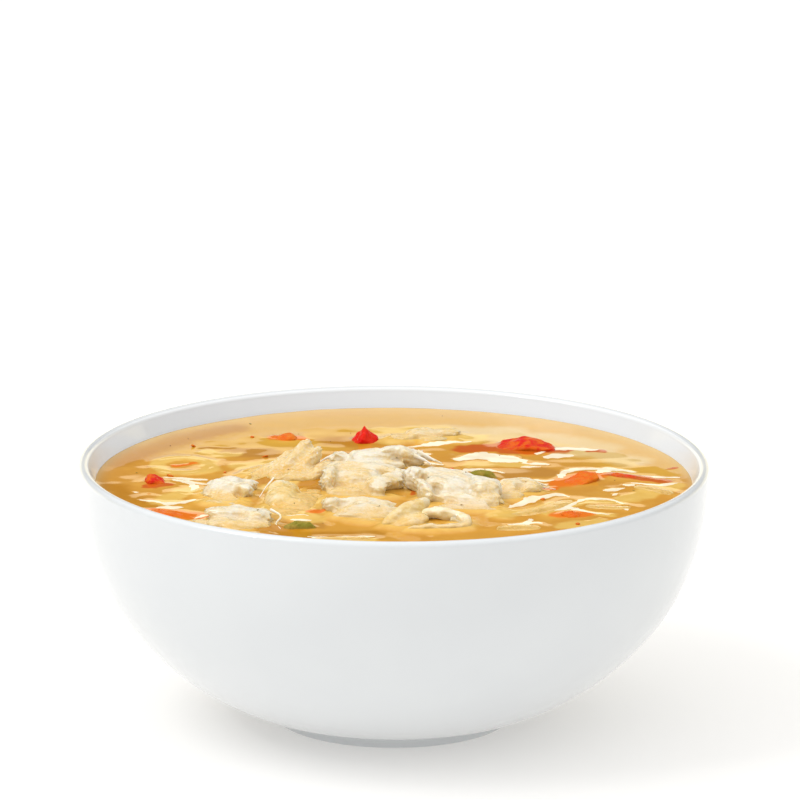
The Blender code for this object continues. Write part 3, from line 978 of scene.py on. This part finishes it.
# Folded noodles: how soaked, the folds as (centre, size, turn), and spots of soaking, painted shade
# and painted highlights as on the chicken.
FOLDED = {
    "noodle_dome": dict(
        soaked=0.75,
        folds=[
            ((-28.8, -16.5, 2.0), (5.0, 8, 4.6), (8, 10, -10)),
            ((-27.4, -20.0, 0.5), (9.0, 17, 6.6), (6, 8, -8)),
            ((-22.6, -22.5, -0.4), (13, 18, 4.6), (0, 12, -8)),
            ((-20.6, -15.0, -0.4), (8, 14, 3.0), (0, 0, -4)),
            ((-26.0, -30.5, -0.5), (13, 14, 3.0), (0, 0, 0)),
        ],
        soak_and_shading_spots=[((-28.8, -15.0, 4.6), 3.2, -0.6), ((-29.6, -25, 1.6), 2.4, -0.4), ((-20, -20, 1), 5.0, 0.4)],
    ),
    "noodle_fold": dict(
        soaked=0.5,
        folds=[
            ((2.8, -38.5, 1.9), (16.5, 4.6, 5.0), (0, -16, 42)),
            ((4.0, -41.2, 0.6), (11, 7, 3.6), (0, -8, 38)),
        ],
        soak_and_shading_spots=[((8.0, -34, 4.0), 3.0, -0.25), ((-2, -43, 0.5), 3.0, 0.3)],
    ),
    "noodle_arch": dict(
        soaked=0.0,
        folds=[],
        band=[
            (6.2, -38.6, 0.4, 2.0), (8.6, -37.2, 1.9, 2.8), (13.0, -38.2, 2.0, 3.4), (17.0, -40.0, 1.2, 3.2),
            (17.8, -43.4, 0.5, 2.9), (14.0, -46.0, 0.5, 2.6), (9.0, -46.2, 0.5, 2.4), (3.2, -46.8, 0.2, 1.8),
        ],
        soak_and_shading_spots=[((10, -42, 0.4), 2.4, 0.6)],
    ),
}


def round_band(noodle):
    """Turn a plain band into one with soft edges."""
    round_off = noodle.modifiers.new("Round", "SUBSURF")
    round_off.levels = 3
    round_off.render_levels = 3
    apply_all(noodle)


def sweep(points):
    """A round tube through (x, y, height, thickness) points in millimetres, as a mesh."""
    curve = bpy.data.curves.new("sweep", "CURVE")
    curve.dimensions = "3D"
    curve.bevel_depth = MM / 2
    curve.bevel_resolution = 2
    curve.resolution_u = 6
    curve.use_fill_caps = True
    spline = curve.splines.new("BEZIER")
    spline.bezier_points.add(len(points) - 1)
    for point, (x, y, z, thickness) in zip(spline.bezier_points, points):
        point.co = (x * MM, y * MM, LEVEL + z * MM)
        point.handle_left_type = "AUTO"
        point.handle_right_type = "AUTO"
        point.radius = thickness
    tube = bpy.data.objects.new("sweep", curve)
    bpy.context.scene.collection.objects.link(tube)
    pick(tube)
    bpy.ops.object.convert(target="MESH")
    return bpy.context.object


def fold_band(noodle, folds, band):
    """Melt the folds of a noodle together, and ease them into each other."""
    shrink(noodle, CORE_SHARE)
    lobes = [add_lobe(*fold, squareness=1.0) for fold in folds]
    if band:
        lobes.append(sweep(band))
    melt(noodle, lobes, VOXEL)
    ease_out(noodle, 5)


def shape_noodle(node):
    noodle = rough_copy(node, f"{node}_cooked")
    plan = FOLDED.get(node, dict(soaked=0.9, soak_and_shading_spots=[]))
    if node in FOLDED:
        fold_band(noodle, plan["folds"], plan.get("band"))
    else:
        round_band(noodle)
        sink(noodle, *[BREAKING.get(node, 0.5)] * 3)
    relief(noodle, soft_lumps, (3.2, 2.6, 2.6), 0.9 if node in FOLDED else 0.15)
    if node in FOLDED:
        relief(noodle, fibre_grain, (3.0, 1.2, 1.2), 0.2, heading=20)
    keep_grain(noodle, 20)
    keep_soak_and_shading(noodle, plan["soaked"], plan["soak_and_shading_spots"])
    pick(noodle)
    bpy.ops.object.shade_smooth()
    return noodle


noodles = {node: shape_noodle(node) for node in NOODLE_NODES}
print(len(noodles), "noodles")

# %% Noodle dough
noodle_dough = make_soft_food(
    "egg noodle",
    dry=from_srgb(238, 229, 202),
    cream=from_srgb(236, 212, 150),
    warm=from_srgb(228, 192, 108),
    soaked=from_srgb(224, 174, 76),
    fleck_and_crest_light=from_srgb(240, 226, 184),
    thread_bump=0.12,
    shine_low=0.10,
    wet_coat=0.6,
    glow_reach=0.0006,
)
for node, noodle in noodles.items():
    noodle.data.materials.clear()
    noodle.data.materials.append(noodle_dough)
    place(noodle, node)

# %% [markdown]
# ## Vegetables
# The dice are cut with a knife and then cooked, so their faces stay flat but their edges soften. A
# subdivided copy of each solid keeps the cut, and fine lumps break its faces.


# %% Shape the vegetables
# How much of each cut's height stays above the broth, at its low-x side, its middle and its high-x side.
SHOWING = {
    "carrot_far": (0.9, 1.0, 0.9),
    "carrot_left": (0.4, 0.6, 0.4),
    "carrot_right": (0.0, 0.5, 0.7),
    "carrot_near": (0.5, 0.7, 0.4),
    "pepper_far": (0.3, 1.0, 0.7),
    "pepper_left": (0.9, 1.2, 0.7),
    "pepper_right": (0.3, 0.85, 0.25),
    "pepper_strip": (0.4, 0.6, 0.3),
    "celery_near": (2.0, 2.6, 2.0),
    "celery_middle": (1.0, 1.4, 1.0),
}


def shape_cut(node, showing):
    cut = rough_copy(node, f"{node}_cut")
    round_off = cut.modifiers.new("Soften", "SUBSURF")
    round_off.levels = 3
    round_off.render_levels = 3
    apply_all(cut)
    sink(cut, *showing)
    relief(cut, soft_lumps, (2.4, 2.4, 2.4), 0.7)
    relief(cut, fibre_grain, (1.6, 0.7, 0.7), 0.3, heading=30)
    pick(cut)
    bpy.ops.object.shade_smooth()
    return cut


cuts = {node: shape_cut(node, showing) for node, showing in SHOWING.items()}
print(len(cuts), "cuts of vegetable")


# %% Vegetable skins
def make_vegetable(name, main, second, soaked, roughness):
    skin = Paint(name, roughness=roughness, ior=1.42)
    body = skin.mix(skin.patches(2.4, 0.42, 0.62), main, second)
    wet = skin.ramp_of(skin.height(), LEVEL - 0.0002, LEVEL + 0.0010, 1.0, 0.0)
    body = skin.mix(skin.maths("MULTIPLY", wet, 0.75), body, soaked)
    skin.shader.inputs["Specular IOR Level"].default_value = 0.16
    skin.glow_through(0.1, (1.0, 0.35, 0.15), 0.0008)
    cells = skin.patches(0.5, 0.3, 0.7)
    return skin.finish(body, skin.bump(cells, 0.00015, 0.4))


SKINS = {
    "carrot": make_vegetable(
        "cooked carrot", from_srgb(226, 100, 0), from_srgb(224, 118, 10), from_srgb(220, 108, 14), 0.3
    ),
    "pepper": make_vegetable(
        "cooked red pepper", from_srgb(216, 20, 2), from_srgb(222, 92, 0), from_srgb(206, 98, 14), 0.28
    ),
    "pepper_far": make_vegetable(
        "bright red pepper", from_srgb(228, 8, 6), from_srgb(228, 40, 4), from_srgb(206, 60, 10), 0.28
    ),
    "celery": make_vegetable(
        "cooked celery", from_srgb(140, 130, 40), from_srgb(168, 142, 58), from_srgb(168, 126, 48), 0.3
    ),
}
for node, cut in cuts.items():
    family = node.split("_")[0]
    cut.data.materials.clear()
    cut.data.materials.append(SKINS.get(node, SKINS[family]))
    place(cut, node)

# %% [markdown]
# ## Strands, scraps and specks
# Tearing leaves loose threads of meat at the edges of the chunks. Each is a tapered thread along a few
# points. Scraps of carrot and specks of pepper and herbs are small lumps, scattered over the broth and
# the meat. Each kind is one mesh, because scattered things are one piece of this part.

# %% Loose strands of meat
STRANDS = [
    (((-30, -36, 2.2), (-27.6, -40, 1.6), (-28.6, -44, 0.8), (-27.4, -47, 0.3)), 0.7),
    (((34, -9, 1.6), (37.5, -8, 0.9), (40.4, -7.4, 0.2)), 0.7),
    (((33, -6.5, 2.2), (36.5, -5, 1.1), (39, -5.4, 0.3)), 0.7),
    (((6, 14, 4.2), (8.4, 13.4, 3.2), (10.4, 12.6, 2.2)), 1.2),
    (((7.5, 15.5, 2.4), (10, 16, 1.6), (12.2, 15.4, 0.8)), 1.1),
    (((5, 12.6, 3.6), (7.4, 11.8, 2.8), (9.4, 10.8, 1.8)), 1.1),
    (((-15, 17, 2.4), (-17.4, 17.6, 1.3), (-19.0, 17.2, 0.4)), 0.9),
    (((-17, 13, 1.8), (-19, 12.4, 0.8), (-20.6, 12.8, 0.2)), 0.8),
    (((-29.8, -13, 4.2), (-31.6, -15.4, 2.6), (-33.2, -18.6, 0.8)), 0.5),
    (((12, -8.4, 5.4), (16, -8.8, 4.8), (20.0, -8.4, 3.6)), 0.8),
]


def spin_strand(path, thick):
    """A thread that tapers to its loose end."""
    last = len(path) - 1
    return sweep([(*point, thick * (1 - 0.75 * index / last)) for index, point in enumerate(path)])


def plain_skin(name, first, second, roughness):
    skin = Paint(name, roughness=roughness, ior=1.4)
    return skin.finish(skin.mix(skin.patches(7.0, 0.45, 0.55), first, second))


def join_all(pieces, name):
    pick(*pieces)
    bpy.ops.object.join()
    joined = bpy.context.object
    joined.name = name
    joined.data.name = name
    return joined


meat_thread = plain_skin("meat thread", from_srgb(252, 244, 226), from_srgb(246, 232, 198), 0.3)
strands = join_all([spin_strand(*strand) for strand in STRANDS], "chicken_strands")
relief(strands, soft_lumps, (1.2, 1.2, 1.2), 0.18)
strands.data.materials.clear()
strands.data.materials.append(meat_thread)
pick(strands)
bpy.ops.object.shade_smooth()
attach(strands, "root")
print(len(STRANDS), "strands")

# %% Scraps and specks
rng = np.random.default_rng(31)


def piece_tree(pieces):
    """One search tree over all the pieces' faces."""
    points, faces = [], []
    for piece in pieces:
        offset = len(points)
        points.extend(vertex.co.copy() for vertex in piece.data.vertices)
        faces.extend([offset + index for index in face.vertices] for face in piece.data.polygons)
    return BVHTree.FromPolygons(points, faces)


solid_food = piece_tree([*chunks.values(), *noodles.values(), *cuts.values()])


def top_of(x, y):
    """Height of whatever lies at a place, the broth where nothing does."""
    hit = solid_food.ray_cast(Vector((x, y, LEVEL + 0.05)), Vector((0, 0, -1)))[0]
    return max(LEVEL, hit.z) if hit else LEVEL


def add_speck(x, y, size, flatness):
    bpy.ops.object.select_all(action="DESELECT")
    bpy.ops.mesh.primitive_ico_sphere_add(subdivisions=1, radius=size / 2 * MM, location=(0, 0, 0))
    speck = bpy.context.object
    speck.scale = (rng.uniform(0.8, 1.7), rng.uniform(0.6, 1.2), flatness)
    speck.rotation_euler = (rng.uniform(-0.4, 0.4), rng.uniform(-0.4, 0.4), rng.uniform(0, math.tau))
    speck.location = (x, y, top_of(x, y) + 0.1 * size * MM)
    settle(speck)
    return speck


def scatter(name, count, smallest, largest, flatness, material, reach=70, highest=9.0):
    specks = []
    while len(specks) < count:
        x, y = rng.uniform(-reach, reach, 2)
        if math.hypot(x, y) < reach and top_of(x * MM, y * MM) <= LEVEL + highest * MM:
            specks.append(add_speck(x * MM, y * MM, rng.uniform(smallest, largest), flatness))
    joined = join_all(specks, name)
    joined.data.materials.append(material)
    bpy.ops.object.shade_smooth()
    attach(joined, "root")
    return joined


pepper_grit = plain_skin("ground pepper", from_srgb(140, 92, 40), from_srgb(168, 108, 44), 0.6)
herb_leaf = plain_skin("dried herb", from_srgb(120, 112, 36), from_srgb(150, 116, 48), 0.45)
scatter("pepper_specks", 24, 0.28, 0.45, 0.5, pepper_grit)
scatter("herb_specks", 18, 0.4, 0.9, 0.25, herb_leaf)
scatter("carrot_scraps", 12, 0.9, 1.8, 0.4, SKINS["carrot"], reach=64, highest=0.0)

# %% [markdown]
# ## The broth
# Liquid is never flat where something floats in it: it climbs a little up each piece and up the wall,
# and it bulges over what lies just under it. A fine grid is pulled round into a disc, and each of its
# points is raised by how near it is to a piece. Then its edge is extruded down inside the bowl.

# %% A disc of broth
GRID = 300
EDGE_RADIUS = (inner_radius(LEVEL / MM) + 0.3) * MM


def square_to_disc(x, y):
    """Where a point of a square from -1 to 1 lands when the square is pulled round."""
    return x * np.sqrt(1 - y * y / 2), y * np.sqrt(1 - x * x / 2)


bpy.ops.object.select_all(action="DESELECT")
bpy.ops.mesh.primitive_grid_add(x_subdivisions=GRID, y_subdivisions=GRID, size=2, location=(0, 0, 0))
broth = bpy.context.object
broth.name = "broth_liquid"
broth.data.name = "broth_liquid"
flat = np.empty(len(broth.data.vertices) * 3)
broth.data.vertices.foreach_get("co", flat)
flat = flat.reshape(-1, 3)
disc_x, disc_y = square_to_disc(flat[:, 0], flat[:, 1])
surface = np.stack([disc_x * EDGE_RADIUS, disc_y * EDGE_RADIUS, np.full(len(disc_x), LEVEL)], axis=1)
print(len(surface), "points on the surface")


# %% Distance to the pieces
tall_food = piece_tree([*chunks.values(), *(noodles[node] for node in FOLDED)])
shore = np.array([solid_food.find_nearest(Vector(point))[3] for point in surface])
tall_shore = np.array([tall_food.find_nearest(Vector(point))[3] for point in surface])
print("nearest piece from", round(shore.min() / MM, 2), "to", round(shore.max() / MM, 1), "mm")

# %% [markdown]
# Much of the soup lies just under the surface: noodles show as pale loops, celery as olive patches,
# and carrot and pepper as a stain of their colour. Each is a brush stroke on the broth, a path in
# millimetres with half its width, and some swell the surface over them. Thin pale streaks on top are
# painted highlights, a darker amber between and beside the pieces is painted shade, and a paler tone
# and a pale veil over the back are painted glare.

# %% Brush strokes on the broth
STROKES = {
    "noodle": [
        (((-45, -23), (-37, -21)), 2.6),
        (((-34, -10), (-30, -6), (-24, 0)), 3.0),
        (((-19, -24), (-17, -20)), 2.0),
        (((-60, 14), (-58, 20.5), (-52, 22.5), (-46.5, 18.5), (-46.5, 11), (-51, 7), (-57, 8), (-60, 14)), 2.6),
        (((-48, 29), (-44, 25), (-41, 26)), 2.4),
        (((-38, 14), (-33, 17), (-28, 19)), 3.8),
        (((-57, -22), (-54, -14), (-51, -9)), 3.6),
        (((20, 17), (26, 18.5), (32, 17.5)), 3.2),
        (((26, -33), (34, -28), (39, -23)), 3.2),
        (((43, -23), (50, -19.5), (57, -21)), 2.0),
        (((38, -30), (46, -28), (53, -31)), 2.4),
        (((42, -42), (50, -38)), 3.2),
        (((58, -15), (65, -9), (70, -3)), 3.8),
        (((57.5, -17), (60, -14)), 1.6),
        (((-32, -28), (-26, -34), (-20, -37)), 4.5),
        (((-19, -56), (-6, -56)), 2.0),
        (((-2, 43), (8, 47), (18, 44)), 6.5),
        (((-2, 52), (12, 54)), 4.0),
    ],
    "celery": [
        (((-49.5, 33), (-41, 33)), 1.2),
        (((-39, 28), (-34, 28)), 5.2),
        (((28, 7), (38, 10)), 4.5),
        (((-28, -44), (-19, -43)), 3.2),
        (((18, 6), (26, 6)), 4.0),
    ],
    "carrot": [
        (((-31, 43), (-24, 43)), 2.6),
        (((-60, -30), (-53, -33), (-46, -36)), 3.2),
        (((43, -1), (50, 7)), 4.5),
        (((41.5, -32), (46.5, -30)), 3.0),
        (((36.7, -7), (40, -6)), 2.0),
        (((-55, 14.5), (-51, 17)), 1.1),
        (((-20.5, -32), (-18.5, -31)), 1.6),
    ],
    "pepper": [
        (((19, 33), (30, 36)), 3.8),
        (((29, 31), (43, 32)), 3.0),
        (((54.5, 8), (62, 4), (68, 1)), 2.0),
        (((-61.5, -6), (-57, -4.5)), 1.8),
        (((3.8, -13.5), (4.4, -10)), 0.9),
        (((51, 32), (53, 31.5)), 1.3),
        (((70, 14), (70.6, 14.2)), 0.9),
    ],
    # painted shade: darker amber in the clefts between pieces, in the arch's hollow, behind the far pepper and along
    # the left wall
    "painted_shade": [
        (((-71, 17), (-66, 27), (-55, 42), (-42, 54)), 4.5),
        (((-72, -6), (-64, -22), (-54, -36)), 4.0),
        (((-14, 41), (-8, 40), (-1, 42)), 5.5),
        (((-30, -50), (-20, -52), (-5, -51)), 4.0),
        (((-31, -2), (-25, -6), (-20, -4)), 4.0),
        (((-33, -26), (-30.5, -31)), 2.4),
        (((-20, -8), (-20, -14)), 2.0),
        (((8, -35), (13, -36)), 3.4),
        (((-29, -47), (-24, -47)), 2.6),
    ],
    # painted glare tint: a paler, yellower tone over the back, where the broth mirrors the card
    "glare_tint": [
        (((-52, 36), (-30, 52), (0, 60), (30, 56), (52, 40), (66, 18)), 14.0),
        (((40, 38), (54, 34)), 6.0),
        (((-48, 36), (-20, 36)), 7.0),
    ],
    # painted glare: a pale cream patch at the back right, where the broth mirrors the card
    "painted_glare": [
        (((44, 32), (52, 30), (60, 22)), 5.0),
        (((24, 48), (40, 44), (52, 36)), 6.0),
        (((14, 52), (30, 52)), 5.0),
    ],
    # painted highlights: pale streaks where the tilted broth would mirror the light, drawn as paint
    "cream": [
        (((17, 22.5), (22, 26.5), (27, 23.5), (33, 21.5)), 3.8),
        (((33, 19), (38.5, 17.5)), 1.5),
        (((32, 14.6), (36.5, 15)), 1.2),
        (((39, 25), (45, 28)), 2.4),
        (((15.7, 8), (19, 12), (24, 12), (27.5, 8.5)), 1.3),
        (((42.5, 4), (43.6, 10), (48, 13.5), (52, 13.5)), 1.5),
        (((51, 10), (55, 13), (60, 11.5)), 2.2),
        (((60, -1), (66, -3), (71, -1)), 1.3),
        (((63, 6), (72, 5)), 1.3),
        (((53.5, -7), (57.5, -5)), 1.2),
        (((53.8, -12), (56, -10)), 1.0),
        (((55.9, -26.4), (56.6, -26.2)), 1.3),
        (((58, -2), (60, -3)), 1.0),
        (((44, -23), (47, -17), (52, -16), (58, -22)), 1.3),
        (((40, -28), (43.5, -25), (47, -28), (53, -31)), 1.4),
        (((29, -25), (35, -16), (40, -12), (44, -14)), 1.5),
        (((28.5, -41), (36, -39)), 1.7),
        (((33, -36.5), (32, -45)), 1.7),
        (((-26, -36.4), (-20.5, -35.4)), 0.6),
        (((-25, -38.8), (-20, -38.2)), 0.7),
        (((-21, -53), (-14, -55), (-5, -53)), 1.8),
        (((-26, -56), (-15, -57.5)), 1.4),
        (((-57, 3), (-52, 1), (-48, 1.5)), 1.3),
        (((-55, 0), (-50, -3), (-47, -4)), 1.2),
        (((-52, -3), (-49, -7), (-50.5, -10.5)), 1.1),
        (((-62.5, -20), (-56, -24), (-49, -20.5)), 1.2),
        (((-58, -26.5), (-53, -27)), 1.3),
        (((-49, -38), (-45, -34)), 1.0),
        (((2.8, 34), (10.5, 37), (19, 40.5)), 1.1),
        (((33, 1.5), (39.5, 1.5)), 1.2),
        (((34, -3), (38.5, -2.4)), 1.0),
        (((4.5, 26), (9, 27)), 1.2),
        (((7, 19), (13, 17)), 1.4),
        (((-64.5, -11.5), (-63.5, -12)), 0.9),
        (((36, 29), (44, 34), (52, 33)), 1.8),
    ],
}
SWELL_OF = {"noodle": 0.08, "celery": 0.03, "carrot": 0.08, "pepper": 0.06, "cream": 0.05}
WANDER = 1.4  # how far the strokes wave from their paths, in millimetres
TAPER = 0.55  # how much thinner a painted highlight streak is at its ends
wander = np.array([
    (noise.noise_vector(Vector((x, y, 0)) / (5 * MM)) + 0.45 * noise.noise_vector(Vector((x, y, 9)) / (1.7 * MM)))[:2]
    for x, y in surface[:, :2]
]) * WANDER
place_mm = surface[:, :2] / MM + wander


def to_path(path, taper):
    """How far each point of the surface is from a path, counted in the path's own widths."""
    nearest = np.full(len(place_mm), np.inf)
    for index, (start, end) in enumerate(zip(path, path[1:])):
        start, run = np.array(start, float), np.subtract(end, start)
        along = np.clip((place_mm - start) @ run / (run @ run), 0, 1)
        share = (index + along) / (len(path) - 1)
        width = 1 - taper * np.abs(2 * share - 1) ** 1.5
        nearest = np.minimum(nearest, np.linalg.norm(place_mm - start - along[:, None] * run, axis=1) / width)
    return nearest


def soft_step(value):
    value = np.clip(value, 0, 1)
    return value * value * (3 - 2 * value)


layers = {}
for layer, strokes in STROKES.items():
    mask = np.zeros(len(surface))
    for path, half_width in strokes:
        taper = TAPER if layer == "cream" else 0.0
        mask = np.maximum(mask, soft_step(1.5 - to_path(path, taper) / half_width))
    layers[layer] = mask
    print(layer, len(strokes), "strokes")

SHOWS_THROUGH = 2.4  # how far from the meat its drowned foot still shows, in millimetres
drowned = 0.75 * np.exp(-((tall_shore / (SHOWS_THROUGH * MM)) ** 2)) * (1 - layers["painted_shade"])

# %% Raise the surface
SMALL_CLIMB = 0.2 * MM
CLIMB = 0.6 * MM
CLIMB_REACH = 1.6 * MM
WALL_CLIMB = 0.5 * MM
WALL_REACH = 1.6 * MM


def ripple(x, y, size, seed):
    return noise.noise(Vector((x / (size * MM), y / (size * MM), seed)))


radius = np.hypot(surface[:, 0], surface[:, 1])
lift = SMALL_CLIMB * np.exp(-((shore / CLIMB_REACH) ** 1.4))
lift += CLIMB * np.exp(-((tall_shore / CLIMB_REACH) ** 1.4))
lift += WALL_CLIMB * np.exp(-(EDGE_RADIUS - radius) / WALL_REACH)
for layer, swell in SWELL_OF.items():
    lift += layers[layer] * swell * MM
waves = np.array([
    0.10 * ripple(x, y, 14.0, 3.1) + 0.05 * ripple(x, y, 5.0, 8.4) for x, y in surface[:, :2]
])
surface[:, 2] += lift + waves * MM
broth.data.vertices.foreach_set("co", surface.ravel())
broth.data.update()
print("lifted by up to", round(float(lift.max() / MM), 2), "mm")

# %% Keep the strokes as two colour layers of the mesh
PAINTED = len(surface)


def keep_layers(name, red, green, blue, alpha):
    """Store four masks in one colour attribute."""
    attribute = broth.data.color_attributes.new(name, "FLOAT_COLOR", "POINT")
    values = np.stack([red, green, blue, alpha], axis=1)
    attribute.data.foreach_set("color", values.ravel())


wall_reach = (1.1 + 3.4 * np.clip(surface[:, 1] / EDGE_RADIUS, 0, 1)) * MM
near_wall = np.exp(-(EDGE_RADIUS - radius) / wall_reach)
keep_layers("sunk", np.maximum(layers["noodle"], drowned), layers["celery"], layers["carrot"], layers["pepper"])
# the skin layer holds the painted shade, the painted highlights, a paler band along the wall and the painted glare tint
keep_layers("skin", layers["painted_shade"], layers["cream"], near_wall, layers["glare_tint"])
# painted glare: its own layer of the mesh
painted_glare = broth.data.attributes.new("painted_glare", "FLOAT", "POINT")
painted_glare.data.foreach_set("value", layers["painted_glare"])
print("painted", PAINTED, "points")

# %% Give the broth its depth
bpy.ops.object.mode_set(mode="EDIT")
bpy.ops.mesh.select_mode(type="EDGE")
bpy.ops.mesh.select_all(action="DESELECT")
bpy.ops.mesh.select_non_manifold()
bpy.ops.mesh.extrude_edges_move(TRANSFORM_OT_translate={"value": (0, 0, -1.2 * MM)})
level_now = LEVEL / MM
radius_now = EDGE_RADIUS / MM
for height in reversed(ease(FLOOR_HEIGHT + 0.1, level_now - 1.2, 7, 1.6)):
    next_radius = inner_radius(height) + 0.2
    bpy.ops.mesh.extrude_edges_move()
    bpy.ops.transform.resize(value=(next_radius / radius_now,) * 2 + (1,), center_override=(0, 0, 0))
    bpy.ops.transform.resize(value=(1, 1, 0), center_override=(0, 0, height * MM))
    radius_now = next_radius
bpy.ops.mesh.edge_face_add()
bpy.ops.object.mode_set(mode="OBJECT")
bpy.ops.object.shade_smooth()
print(len(broth.data.polygons), "faces in the broth")


# %% Broth liquid
def make_broth_paint():
    liquid = Paint("creamy broth", roughness=0.04, ior=1.33)
    liquid.shader.inputs["Specular IOR Level"].default_value = 0.34
    sunk = liquid.node("ShaderNodeVertexColor", layer_name="sunk")
    skin = liquid.node("ShaderNodeVertexColor", layer_name="skin")
    sunk_parts = liquid.node("ShaderNodeSeparateColor")
    skin_parts = liquid.node("ShaderNodeSeparateColor")
    liquid.link(sunk.outputs["Color"], sunk_parts.inputs["Color"])
    liquid.link(skin.outputs["Color"], skin_parts.inputs["Color"])
    noodle_mask, celery_mask, carrot_mask = (sunk_parts.outputs[index] for index in range(3))
    painted_shade_mask, painted_highlight_mask, wall_mask = (skin_parts.outputs[index] for index in range(3))
    pepper_mask = sunk.outputs["Alpha"]
    glare_tint_mask = skin.outputs["Alpha"]
    painted_glare_mask = liquid.node("ShaderNodeAttribute", attribute_name="painted_glare").outputs["Fac"]

    grain = liquid.node("ShaderNodeTexNoise")
    liquid.link(liquid.space, grain.inputs["Vector"])
    grain.inputs["Scale"].default_value = 330.0
    grain.inputs["Detail"].default_value = 4.0
    grain_mask = grain.outputs["Fac"]

    def ragged(mask, low, high, bite):
        """A mask whose soft edge is bitten by the grain."""
        bitten = liquid.maths("ADD", mask, liquid.maths("MULTIPLY", grain_mask, bite))
        return liquid.ramp_of(bitten, low + bite / 2, high + bite / 2)

    amber = from_srgb(214, 154, 55)
    rich = from_srgb(209, 147, 52)
    pale = from_srgb(231, 176, 76)
    body = liquid.mix(liquid.patches(20.0, 0.42, 0.62), amber, rich)
    body = liquid.mix(liquid.maths("MULTIPLY", liquid.patches(9.0, 0.50, 0.72), 0.5), body, pale)
    # painted glare tint: a paler, yellower tone over the back of the broth
    body = liquid.mix(liquid.maths("MULTIPLY", glare_tint_mask, 0.8), body, from_srgb(217, 167, 58))
    # painted glare: pale cream over the back right of the broth
    body = liquid.mix(liquid.maths("MULTIPLY", painted_glare_mask, 0.6), body, from_srgb(230, 206, 150))
    # painted shade: darker amber beside and between the pieces and along the left wall
    body = liquid.mix(liquid.maths("MULTIPLY", painted_shade_mask, 0.8), body, from_srgb(186, 123, 12))
    body = liquid.mix(liquid.maths("MULTIPLY", wall_mask, 0.8), body, from_srgb(226, 200, 150))
    body = liquid.mix(liquid.maths("MULTIPLY", ragged(celery_mask, 0.1, 1.0, 0.7), 0.85), body, from_srgb(192, 134, 52))
    noodle_shade = liquid.mix(grain_mask, from_srgb(234, 190, 86), from_srgb(240, 208, 122))
    body = liquid.mix(liquid.maths("MULTIPLY", ragged(noodle_mask, 0.2, 1.0, 0.6), 0.7), body, noodle_shade)
    body = liquid.mix(liquid.maths("MULTIPLY", ragged(carrot_mask, 0.2, 0.9, 0.5), 0.85), body, from_srgb(236, 112, 0))
    body = liquid.mix(liquid.maths("MULTIPLY", ragged(pepper_mask, 0.2, 0.9, 0.5), 0.85), body, from_srgb(200, 80, 8))
    # painted highlights: the pale streaks over the broth
    cream = ragged(painted_highlight_mask, 0.60, 0.68, 1.3)
    body = liquid.mix(cream, body, from_srgb(250, 236, 206))
    bounce = liquid.node("ShaderNodeLightPath").outputs["Is Diffuse Ray"]
    body = liquid.mix(liquid.maths("MULTIPLY", bounce, 0.85), body, (0.52, 0.52, 0.53, 1))
    return liquid.finish(body)


broth.data.materials.append(make_broth_paint())
place(broth, "broth")
